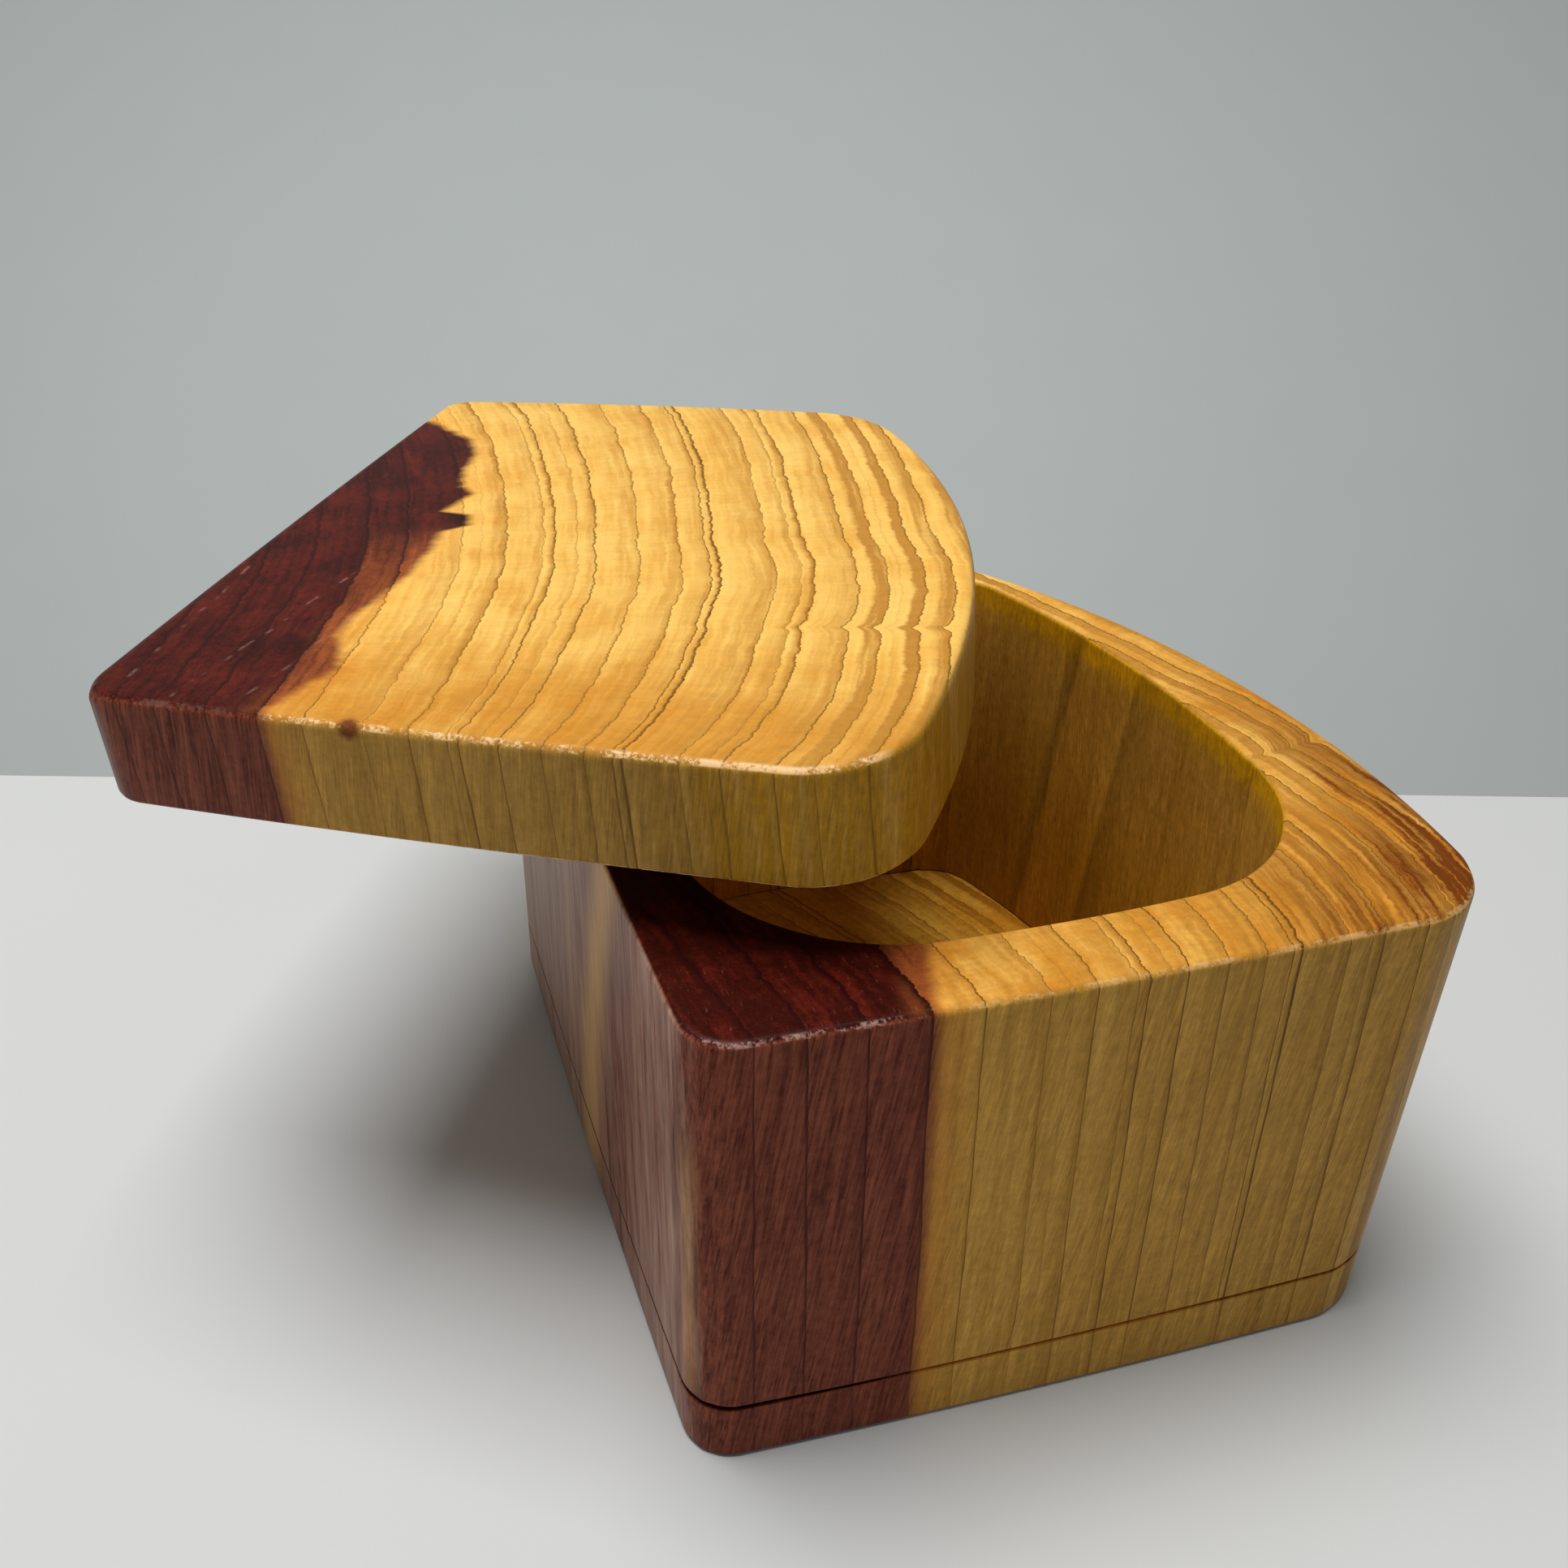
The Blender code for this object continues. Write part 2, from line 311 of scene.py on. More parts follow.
def flared_profile(low: float, rim: float, high: float, radius: float, segments: int) -> Profile:
    """Draw a saw cut that widens to a rounded rim.

    Args:
        low: where the cut begins.
        rim: height of the face that it leaves.
        high: where the cut ends, above the face.
        radius: radius of the rim.
        segments: steps across the rounding.

    Returns:
        The profile from below up.
    """
    turns = quarter_turn(segments)
    flare = [(-radius * rising, rim - radius * falling) for falling, rising in turns]
    return [(0.0, low), *flare, (-radius, high)]


def blend(low: float, high: float, share: float) -> float:
    """Give a size between two others, held at each outside the range from 0 to 1."""
    return low + (high - low) * min(max(share, 0), 1)


def wavered(points: Sequence[Vector], phase: float) -> list[Vector]:
    """Draw an outline in here and there, as hand sanding leaves it.

    Args:
        points: outline.
        phase: shift of the wave pattern along the outline.

    Returns:
        Outline of as many points, nowhere outside the first.
    """
    deepest = 0.00012
    waves = (5, 11, 17)
    result = []
    for index, point in enumerate(points):
        before, after = points[index - 1], points[(index + 1) % len(points)]
        turn = math.tau * index / len(points)
        level = sum(math.sin(wave * turn + phase * wave) for wave in waves) / len(waves)
        result.append(point + left_normal(before, after) * deepest * (0.5 + level / 2))
    return result


# Modelling by hand


class Slab:
    """One sawn piece, modelled with Blender's own operators."""

    arc_step = math.radians(1.6)
    crease = math.radians(35)
    flat_margin = 0.0004
    least_flat_area = 2e-4
    lift = 0.001

    def __init__(self, name: str, outline: Outline, phase: float, profile_at: ProfileRule) -> None:
        """Saw a closed slab with shaped walls.

        Args:
            name: name of the piece.
            outline: outline in plan.
            phase: shift of the sanding waves.
            profile_at: rule that gives the wall's profile for a point and its outward facing.
        """
        points = wavered(outline.points(self.arc_step), phase)
        count = len(points)
        inwards = [left_normal(points[i - 1], points[(i + 1) % count]) for i in range(count)]
        profiles = [profile_at(point, -inward) for point, inward in zip(points, inwards)]
        clear_selection()
        bpy.ops.mesh.primitive_circle_add(vertices=count, fill_type="NGON")
        self.piece = bpy.context.object
        self.piece.name = self.piece.data.name = name
        for vertex, point in zip(self.piece.data.vertices, points):
            vertex.co = point.to_3d()
        for row, vertices in enumerate(self.raise_walls(len(profiles[0]) - 1)):
            for vertex, point, inward, profile in zip(vertices, points, inwards, profiles):
                inset, height = profile[row]
                vertex.co = (point + inward * inset).to_3d() + Vector((0, 0, height))
        self.piece.data.update()

    def hold(self, mode: str = "OBJECT") -> None:
        """Select the piece alone, make it active and enter a mode.

        Args:
            mode: Blender's name of the mode.
        """
        clear_selection()
        self.piece.select_set(True)
        bpy.context.view_layer.objects.active = self.piece
        bpy.ops.object.mode_set(mode=mode)

    def raise_walls(self, rows: int) -> list[list[bpy.types.MeshVertex]]:
        """Extrude the flat piece upwards in level rows and close it.

        Args:
            rows: number of rows of faces.

        Returns:
            Vertices of each row from the lowest up, each in the order of the flat piece.
        """
        vertices = self.piece.data.vertices
        count = len(vertices)
        order = {tuple(vertex.co.xy): vertex.index for vertex in vertices}
        self.hold("EDIT")
        bpy.ops.mesh.select_all(action="SELECT")
        for _ in range(rows):
            bpy.ops.mesh.extrude_region_move(TRANSFORM_OT_translate={"value": (0, 0, self.lift)})
        bpy.ops.mesh.select_all(action="SELECT")
        bpy.ops.mesh.normals_make_consistent(inside=False)
        bpy.ops.object.mode_set(mode="OBJECT")
        grid: list[list[Any]] = [[None] * count for _ in range(rows + 1)]
        for vertex in self.piece.data.vertices:
            grid[round(vertex.co.z / self.lift)][order[tuple(vertex.co.xy)]] = vertex
        return grid

    def taper(self, shape: BlockShape, top: float) -> None:
        """Give the outside the block's taper.

        Args:
            shape: the block in plan.
            top: height at which nothing moves.
        """
        for vertex in self.piece.data.vertices:
            vertex.co = shape.tapered(vertex.co, top)

    def saw_out(self, cutter: "Slab") -> None:
        """Cut another slab out of this one and drop it.

        Args:
            cutter: the slab that is cut out.
        """
        self.hold()
        cut = self.piece.modifiers.new("boolean", "BOOLEAN")
        cut.object, cut.operation, cut.solver = cutter.piece, "DIFFERENCE", "EXACT"
        bpy.ops.object.modifier_apply(modifier=cut.name)
        bpy.data.objects.remove(cutter.piece)

    def polish(self, framed: bool = True) -> None:
        """Shade the piece smooth, apart from its creases.

        Args:
            framed: whether large faces get a narrow border, which keeps their shading flat.
        """
        if framed:
            self.hold("EDIT")
            bpy.ops.mesh.select_mode(type="FACE")
            bpy.ops.mesh.select_all(action="DESELECT")
            bpy.ops.object.mode_set(mode="OBJECT")
            for face in self.piece.data.polygons:
                face.select = face.area > self.least_flat_area
            bpy.ops.object.mode_set(mode="EDIT")
            bpy.ops.mesh.inset(thickness=self.flat_margin, depth=0, use_boundary=True)
        self.hold()
        bpy.ops.object.shade_smooth_by_angle(angle=self.crease)

    def settle(self, pose: Matrix) -> None:
        """Move the mesh to where the piece belongs and leave its object at the origin.

        Args:
            pose: where the piece belongs.
        """
        self.hold()
        self.piece.matrix_world = pose
        bpy.ops.object.transform_apply(location=True, rotation=True, scale=True)

    def dress(
        self, wood: bpy.types.Material, body: BodyName, slot: WoodSlot, node: Optional[str]
    ) -> None:
        """Give the piece its wood and hand it to the frame.

        Args:
            wood: its material.
            body: body it rides on.
            slot: material slot of the record; not used.
            node: CAD node that it stands for, if any.
        """
        piece = self.piece
        piece.data.materials.clear()
        piece.data.materials.append(wood)
        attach(piece, body.value)
        if node:
            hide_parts(node)
        LOG.info("%s: %d faces on %s", piece.name, len(piece.data.polygons), body.value)


def clear_selection() -> None:
    """Leave edit mode and select nothing."""
    if bpy.context.object and bpy.context.object.mode != "OBJECT":
        bpy.ops.object.mode_set(mode="OBJECT")
    bpy.ops.object.select_all(action="DESELECT")


# Shader arithmetic


class Socket:
    """Output of a shader node, or a plain number, that can be calculated with."""

    def __init__(self, shader: "Shader", source: Any) -> None:
        """Wrap an output socket or a number."""
        self.shader = shader
        self.source = source

    def math(self, operation: str, *others: Number) -> "Socket":
        """Add a Math node that starts with this value.

        Args:
            operation: the node's operation.
            others: its further values.

        Returns:
            The result.
        """
        values = dict(enumerate((self, *others)))
        return self.shader.node("ShaderNodeMath", {"operation": operation}, values)

    def size(self) -> "Socket":
        """Give the value without its sign."""
        return self.math("ABSOLUTE")

    def step(self, low: Number, high: Number) -> "Socket":
        """Rise smoothly from 0 at one value to 1 at another.

        Args:
            low: value that gives 0.
            high: value that gives 1.

        Returns:
            Share between 0 and 1.
        """
        values = {"Value": self, "From Min": low, "From Max": high}
        settings = {"interpolation_type": "SMOOTHSTEP"}
        return self.shader.node("ShaderNodeMapRange", settings, values)

    def drop(self, low: Number, high: Number) -> "Socket":
        """Fall smoothly from 1 at one value to 0 at another."""
        return 1 - self.step(low, high)

    def between(self, start: Number, end: Number) -> "Socket":
        """Go from one value to another as this share goes from 0 to 1."""
        return start + self * (end - start)

    def hump(self, centre: Number, width: float) -> "Socket":
        """Give a bell of height 1 round a value.

        Args:
            centre: value with the highest result.
            width: distance at which the bell is down to a quarter.

        Returns:
            Share between 0 and 1.
        """
        away = (self - centre) / width
        return 1 / (1 + away * away) ** 2


def add_operators() -> None:
    """Let sockets stand on either side of the arithmetic operators."""

    def add(name: str, operation: str) -> None:
        """Add one operator and its mirrored form.

        Args:
            name: name of the operator's method.
            operation: what its node does.
        """

        def forward(self: Socket, other: Number) -> Socket:
            """Start with the socket."""
            return self.math(operation, other)

        def mirrored(self: Socket, other: Number) -> Socket:
            """Start with the other value."""
            return Socket(self.shader, other).math(operation, self)

        setattr(Socket, f"__{name}__", forward)
        setattr(Socket, f"__r{name}__", mirrored)

    add("add", "ADD")
    add("sub", "SUBTRACT")
    add("mul", "MULTIPLY")
    add("truediv", "DIVIDE")
    add("pow", "POWER")


add_operators()


class Shader:
    """Node tree of one material, built up step by step."""

    def __init__(self, name: str) -> None:
        """Start a material with one Principled surface.

        Args:
            name: name of the material.
        """
        self.material = bpy.data.materials.new(name)
        self.material.use_nodes = True
        self.tree = self.material.node_tree
        self.surface = self.tree.nodes["Principled BSDF"]

    def node(
        self, kind: str, settings: dict[str, Any], values: dict[Any, Any], output: Any = 0
    ) -> Socket:
        """Add a node.

        Args:
            kind: type of the node.
            settings: its settings, set first. "stops" fills a ramp and "points" a curve.
            values: numbers, colours or links for its input sockets.
            output: name or number of the output that is wanted.

        Returns:
            The output.
        """
        node = self.tree.nodes.new(kind)
        for key, value in settings.items():
            if key == "stops":
                self.fill_ramp(node.color_ramp, value)
            elif key == "points":
                self.fill_curve(node.mapping, value)
            else:
                setattr(node, key, value)
        for key, value in values.items():
            self.feed(node.inputs[key], value)
        return Socket(self, node.outputs[output])

    def feed(self, socket: bpy.types.NodeSocket, value: Any) -> None:
        """Link a value to an input socket or set it there.

        Args:
            socket: the input socket.
            value: an output, a number, a vector or a colour.
        """
        source = value.source if isinstance(value, Socket) else value
        if isinstance(source, bpy.types.NodeSocket):
            self.tree.links.new(source, socket)
        elif isinstance(source, (tuple, list)) and len(source) < len(socket.default_value):
            socket.default_value = (*source, 1)
        else:
            socket.default_value = source

    @staticmethod
    def fill_ramp(ramp: bpy.types.ColorRamp, stops: Sequence[tuple[float, Color]]) -> None:
        """Give a ramp hard-edged stops.

        Args:
            ramp: the ramp.
            stops: pairs of position and colour.
        """
        ramp.interpolation = "CONSTANT"
        for _ in range(len(stops) - len(ramp.elements)):
            ramp.elements.new(1)
        for element, (position, color) in zip(ramp.elements, stops):
            element.position = position
            element.color = (*color, 1)

    @staticmethod
    def fill_curve(mapping: bpy.types.CurveMapping, points: Sequence[Span]) -> None:
        """Give a curve straight stretches between its points.

        Args:
            mapping: the curve.
            points: pairs of value and result.
        """
        line = mapping.curves[0]
        for _ in range(len(points) - len(line.points)):
            line.points.new(1, 1)
        for handle, point in zip(line.points, points):
            handle.location = point
            handle.handle_type = "VECTOR"
        mapping.update()

    def curve(self, value: Socket, points: Sequence[Span]) -> Socket:
        """Look a value up on a line through given points, in real units.

        Args:
            value: what is looked up.
            points: pairs of value and result, in rising order.

        Returns:
            Result, held at the two ends outside the points.
        """
        across, up = zip(*points)
        lows = (min(across), min(up))
        spans = (max(across) - lows[0], max(up) - lows[1])
        shares = [((x - lows[0]) / spans[0], (y - lows[1]) / spans[1]) for x, y in points]
        share = (value - lows[0]) / spans[0]
        found = self.node("ShaderNodeFloatCurve", {"points": shares}, {"Value": share})
        return found * spans[1] + lows[1]

    def here(self) -> Socket:
        """Give the place in the object's own coordinates, in metres."""
        return self.node("ShaderNodeTexCoord", {}, {}, "Object")

    def vector(self, x: Number, y: Number, z: Number) -> Socket:
        """Join three values to a vector."""
        return self.node("ShaderNodeCombineXYZ", {}, {0: x, 1: y, 2: z})

    def noise(self, vector: Any, detail: float = 2.0, roughness: float = 0.5) -> Socket:
        """Add smooth noise with one cell per unit of the vector.

        Args:
            vector: where the noise is read, as a vector or as its three parts.
            detail: number of finer layers.
            roughness: strength of the finer layers.

        Returns:
            Value round 0, mostly between -0.5 and 0.5.
        """
        vector = self.vector(*vector) if isinstance(vector, tuple) else vector
        values = {"Vector": vector, "Scale": 1.0, "Detail": detail, "Roughness": roughness}
        return self.node("ShaderNodeTexNoise", {}, values) - 0.5

    def mix(self, share: Number, low: Any, high: Any, blend_type: str = "MIX") -> Socket:
        """Mix two colours.

        Args:
            share: how much of the second colour shows.
            low: first colour.
            high: second colour.
            blend_type: how the second colour is laid over the first.

        Returns:
            Mixed colour.
        """
        settings = {"data_type": "RGBA", "blend_type": blend_type, "clamp_factor": True}
        return self.node("ShaderNodeMix", settings, {0: share, 6: low, 7: high}, 2)

    def combine(self, operation: str, *vectors: Any, output: Any = 0) -> Socket:
        """Add a Vector Math node.

        Args:
            operation: the node's operation.
            vectors: its vectors.
            output: name or number of the output that is wanted.

        Returns:
            The result.
        """
        settings = {"operation": operation}
        return self.node("ShaderNodeVectorMath", settings, dict(enumerate(vectors)), output)

    def dot(self, vector: Any, direction: Any) -> Socket:
        """Give the dot product of two vectors."""
        return self.combine("DOT_PRODUCT", vector, direction, output="Value")

    def scale(self, vector: Socket, factor: Number) -> Socket:
        """Scale a vector or a colour."""
        settings = {"operation": "SCALE"}
        return self.node("ShaderNodeVectorMath", settings, {0: vector, "Scale": factor})

    def split(self, vector: Socket, kind: str = "ShaderNodeSeparateXYZ") -> tuple[Socket, ...]:
        """Give the three parts of a vector or a colour."""
        first = self.node(kind, {}, {0: vector})
        return tuple(Socket(self, output) for output in first.source.node.outputs)

    def away(self, place: Socket, centre: Point, reach: Point) -> Socket:
        """Measure how far a place lies from a centre.

        Args:
            place: the place.
            centre: the centre.
            reach: distance that counts as 1 along each axis, or 0 where none counts.

        Returns:
            The distance.
        """
        apart = self.combine("DIVIDE", self.combine("SUBTRACT", place, centre), reach)
        return self.combine("LENGTH", apart, output="Value")


def plain_material(
    name: str, colors: tuple[Color, Color], fineness: float, rough: float, uneven: float = 0
) -> bpy.types.Material:
    """Give a mottled material.

    Args:
        name: name of the material.
        colors: its two tones.
        fineness: number of mottles in a metre.
        rough: middle value of its roughness.
        uneven: how much the roughness changes.

    Returns:
        The material.
    """
    shader = Shader(name)
    tone = shader.noise(shader.scale(shader.here(), fineness), 3.0)
    shader.feed(shader.surface.inputs["Base Color"], shader.mix(0.5 + tone, *colors))
    roughness = rough + tone * uneven if uneven else rough
    shader.feed(shader.surface.inputs["Roughness"], roughness)
    return shader.material


# The wood


@dataclass(frozen=True)
class GrowthRings:
    """Growth rings of the block, in millimetres from its tree's pith and in degrees.

    Each ring has its outer edge and the strengths of its dark line and of its late wood. A bend
    is how far the rings stand out at given angles, and the kink is the trace of a branch that
    notches the outer rings. The lean and the kink's drift are for each millimetre down. A reach
    is a pair of radii between which something sets in. The widths lie inside a ring's edge, and
    a pair of them is that on the sides and on end grain. The rises say how late wood sets in
    through a ring, and the two shares how much of it the inner and the outer rings have.
    """

    pith: Span = (-162.15, -112.2)
    flattening: float = 1.055
    lean: float = 0.015
    rings: tuple[tuple[float, float, float], ...] = (
        (145.0, 0.60, 0.3), (151.2, 0.70, 0.3), (157.4, 0.75, 0.4), (164.3, 0.75, 0.3),
        (171.8, 0.85, 0.5), (177.8, 0.85, 0.4), (186.1, 0.80, 0.5), (188.9, 0.15, 0.2),
        (192.5, 0.70, 0.9), (198.1, 0.65, 0.4), (199.7, 0.95, 0.8), (203.1, 0.30, 0.4),
        (205.7, 0.85, 0.6), (212.0, 0.75, 0.5), (217.9, 0.80, 0.6), (221.8, 0.95, 0.6),
        (222.9, 1.00, 0.7), (230.5, 0.85, 0.7), (233.9, 0.35, 0.5), (235.6, 0.75, 0.9),
        (241.6, 0.95, 0.5), (245.7, 0.75, 0.8), (247.3, 0.15, 0.0), (250.4, 0.75, 1.0),
        (254.1, 0.85, 0.6), (260.0, 0.70, 0.7),
    )
    inner_bend: Line = (
        (16, 2.6), (20, 2.1), (24, 0.8), (32, 0.0), (36, -0.7), (40, -1.8), (46, -2.7), (58, -2.2),
    )
    outer_bend: Line = (
        (17, -6.0), (20, -2.7), (23, -0.6), (26, -0.6), (28, -0.5), (30, 0.3), (32, 0.0),
        (35, -1.6), (39, -1.6), (43, -0.9), (48, 0.0),
    )
    bend_reach: Span = (184.0, 232.0)
    kink_angle: float = 27.4
    kink_width: float = 0.28
    kink_drift: float = 0.08
    kink_reach: Span = (228.0, 237.0)
    kink_depth: float = 1.1
    slow_waver: float = 1.2
    quick_waver: float = 1.7
    line_width: Span = (0.30, 0.36)
    vein_width: Span = (0.45, 0.85)
    ripe_vein_width: float = 1.5
    shadow_width: float = 1.2
    shadow: float = 0.22
    late_rise: float = 1.3
    early_rise: Span = (0.32, 0.60)
    early_reach: Span = (240.0, 243.0)
    late_shares: Span = (1.15, 1.495)
    late_reach: Span = (228.0, 236.0)


@dataclass(frozen=True)
class Heartwood:
    """Edge, colours and marks of the dark heartwood, in millimetres and degrees.

    The edge is a radius at given angles. Its raggedness and its softness, half the width of
    the colour change, are those on the sides and on end grain. The scuffs are saw marks on the
    body's rim. The knot and its reach are a radius and an angle. Each other pair holds the two
    values between which something sets in or ends: radii, angles or distances.
    """

    edge: Line = (
        (17.0, 174.0), (19.6, 174.7), (21.3, 176.4), (23.2, 178.6), (24.6, 177.2), (26.0, 174.8),
        (28.2, 175.2), (30.0, 177.0), (32.5, 179.2), (36.0, 181.2), (37.4, 181.4), (38.0, 185.6),
        (39.3, 185.4), (40.0, 181.0), (41.0, 183.2), (42.2, 185.8), (43.2, 184.0), (46.0, 184.6),
        (48.0, 187.0), (50.3, 187.0), (52.2, 184.4), (54.6, 181.6), (58.0, 179.0),
    )
    raggedness: Span = (0.4, 1.8)
    softness: Span = (1.30, 1.26)
    deep: Color = (0.036, 0.004, 0.002)
    red: Color = (0.100, 0.010, 0.005)
    rusty: Color = (0.270, 0.066, 0.015)
    line: Color = (0.018, 0.002, 0.002)
    side_deep: Color = (0.084, 0.013, 0.006)
    side_light: Color = (0.305, 0.082, 0.042)
    side_line: Color = (0.025, 0.003, 0.002)
    scuff: Color = (0.300, 0.090, 0.055)
    rusty_reach: Span = (0.8, 5.5)
    rusty_ring: Span = (170.8, 172.6)
    rusty_angles: Span = (33.0, 40.0)
    scuff_front: Span = (9.0, 26.0)
    scuff_travel: Span = (12.0, 24.0)
    # painted shadow: the rim's heartwood darkens towards the back, where the lid's shadow falls
    lid_shadow_front: Span = (14.0, 34.0)
    knot: Span = (184.2, 38.7)
    knot_reach: Span = (2.2, 0.9)


@dataclass(frozen=True)
class Sapwood:
    """Colours of the golden sapwood and where they change, in millimetres.

    The first tones are those of end grain, from light to amber. Names with side_ belong to the
    sides, the halo is a tint, the hollow is painted shade that darkens the cavity's walls and
    floor, a painted light colour lights the cavity's wall under the rim, and dark stains the
    right corner and the outer rings. The halo's shares are those on the sides and on end grain.
    Each other pair holds the two values between which something sets in or ends: radii for
    rings and for the lid's side, heights in the cavity, else distances; two of them place a
    painted highlight on the lid's side and a painted light falloff along the sides. The bands
    give the brightness of the cavity's wall at distances along the right side, and drift with
    the height.
    """

    light: Color = (0.850, 0.535, 0.132)
    golden: Color = (0.765, 0.405, 0.068)
    amber: Color = (0.560, 0.228, 0.022)
    late: Color = (0.470, 0.212, 0.030)
    line: Color = (0.150, 0.058, 0.004)
    side_light: Color = (0.630, 0.350, 0.070)
    side_dark: Color = (0.420, 0.215, 0.032)
    side_late: Color = (0.320, 0.145, 0.016)
    side_brown: Color = (0.470, 0.225, 0.006)
    side_line: Color = (0.110, 0.042, 0.006)
    halo: Color = (1.140, 0.860, 0.560)
    halo_reach: Span = (-7.0, 1.0)
    halo_shares: Span = (0.55, 0.35)
    rust_reach: Span = (-4.5, 1.0)
    rust_share: float = 0.42
    # painted shade: multiplied into the cavity's walls and floor, most deeply low down
    hollow: Color = (0.950, 0.800, 0.300)
    # painted light: a warm band on the cavity's wall just under the rim
    painted_rim_light: Color = (0.760, 0.370, 0.004)
    dark: Color = (0.150, 0.034, 0.002)
    front_reach: Span = (2.0, 34.0)
    back_reach: Span = (50.0, 95.0)
    right_reach: Span = (62.0, 92.0)
    # painted light falloff: the sides dim from the left towards the right along the front
    falloff_reach: Span = (10.0, 95.0)
    brown_reach: Span = (224.0, 238.0)
    # painted highlight: outer rings on the lid's side, by its right corner
    highlight_reach: Span = (226.0, 244.0)
    corner: Point = (70.0, -37.0, 0.0)
    corner_reach: Span = (6.0, 38.0)
    outer_ring: Span = (245.5, 248.5)
    outer_reach: Span = (25.0, 75.0)
    rim: Span = (70.0, 72.0)
    floor: Span = (12.0, 20.0)
    deep_in: Span = (28.0, 62.0)
    under_rim: Span = (60.0, 69.0)
    at_rim: Span = (64.5, 67.5)
    hollow_drift: float = 0.14
    hollow_bands: Line = (
        (30, 1.00), (39, 1.00), (40.5, 0.84), (42, 1.00), (51, 1.00), (57, 0.92), (62, 0.88),
        (66, 0.76), (67.4, 0.72), (68.2, 1.10), (73, 1.04), (78, 1.12), (80.8, 1.04),
        (81.5, 0.66), (83.0, 0.72), (84.2, 0.94), (92, 0.90), (98, 0.92), (106, 1.12),
    )


@dataclass(frozen=True)
class Streak:
    """Streak of sapwood in the heartwood of the body's left side, in millimetres.

    Args:
        line: distance of its middle from the left corner, at given heights.
        reach: half widths where it is full and where it ends.
        strength: how much of it shows.
        bottom: heights between which it sets in, or None where it starts at the foot.
        top: heights between which it ends, or None where it reaches the rim.
    """

    line: Line
    reach: Span
    strength: float
    bottom: Optional[Span] = None
    top: Optional[Span] = None


@dataclass(frozen=True)
class LeftSide:
    """Left side of the body, with a painted reflection of the bright surroundings, in millimetres.

    The painted reflection's share is given at distances from the left corner. The side ends
    between two heights.
    """

    streaks: tuple[Streak, ...] = (
        Streak(((0, 54.0), (30, 60.0), (50, 67.0), (70, 75.5)), (0.0, 10.0), 0.9),
        Streak(
            ((0, 41.5), (15, 43.0), (30, 46.0), (70, 49.0)), (0.3, 1.8), 0.35, top=(44.0, 60.0),
        ),
        Streak(((0, 107.0), (70, 107.8)), (0.2, 2.2), 0.35, (8.0, 12.0), (44.0, 60.0)),
    )
    tan: Color = (0.640, 0.360, 0.135)
    # painted reflection: greyish mauve of the bright surroundings on the left side's satin surface
    painted_reflection: Color = (0.400, 0.245, 0.175)
    # share of the painted reflection along the left side
    fade: Line = (
        (0, 0.95), (50, 0.75), (58, 0.50), (78, 0.35), (92, 0.55), (103, 0.60), (109, 0.0),
    )
    below: Span = (71.0, 73.0)


@dataclass(frozen=True)
class Wear:
    """Marks of use and of making, in millimetres.

    Along the rounded front edges, worn sapwood fibres are pale and partly a painted highlight,
    and the heartwood's edge carries a painted highlight in the colour of the scratches. Each
    line of scratches has two ends. The knot is the small one on the lid's front edge, and the
    glue's stain along the seam shares its colour. A pair holds the two distances between which
    something sets in or ends, and the worn, highlighted edges lie between a steep and a flat
    level.
    """

    pale: Color = (0.950, 0.610, 0.290)
    # colour of the scratches, also the painted highlight on the heartwood's rounded edge
    scratch_and_highlight: Color = (0.500, 0.290, 0.240)
    scratches: tuple[tuple[Span, Span], ...] = (
        ((-35.5, -26.0), (-19.3, -61.5)),
        ((-19.5, -18.5), (-10.6, -61.0)),
        ((-9.2, -27.0), (-1.6, -60.0)),
    )
    knot: Point = (13.8, -55.0, 85.0)
    knot_reach: Point = (1.7, 1.7, 1.9)
    knot_color: Color = (0.130, 0.028, 0.006)
    seam: float = 9.3
    seam_reach: Span = (0.05, 0.32)
    scratch_width: Span = (0.05, 0.40)
    scratch_sway: float = 1.6
    torn_steep: Span = (0.35, 0.55)
    torn_flat: Span = (0.82, 0.96)
    torn_front: Span = (3.5, 7.0)
    torn_right: Span = (60.0, 98.0)


@dataclass(frozen=True)
class Finish:
    """Surface of one piece.

    Args:
        name: name of the material.
        roughness: middle value of the roughness.
        sheen: level of the surface's own shine.
        pose: place and turn of the piece in the scene, or None where it stands in the block.
        edge_wear_and_highlight: share of worn fibres along the rounded edges of the sapwood,
            partly a painted highlight.
        heart_edge_highlight: share of painted highlight along the rounded edges of the heartwood.
        marks: whether the piece carries the lid's scratches and knot.
        painted_reflection: whether the piece has the body's left side with a painted reflection
            of the bright surroundings, and its glued seam.
        ripeness: how much more amber than the lid's the sapwood is.
        front_ripeness: how much more amber it is along the front.
        band_share: strength of the amber bands in the end grain.
        line_share: strength of the ring lines against the lid's.
        side_level: brightness of the sides.
    """

    name: str
    roughness: float = 0.38
    sheen: float = 0.15
    pose: Optional[tuple[Vector, Euler]] = None
    edge_wear_and_highlight: float = 0.0
    heart_edge_highlight: float = 0.0
    marks: bool = False
    painted_reflection: bool = False
    ripeness: float = 0.0
    front_ripeness: float = 0.60
    band_share: float = 1.0
    line_share: float = 1.0
    side_level: float = 1.0


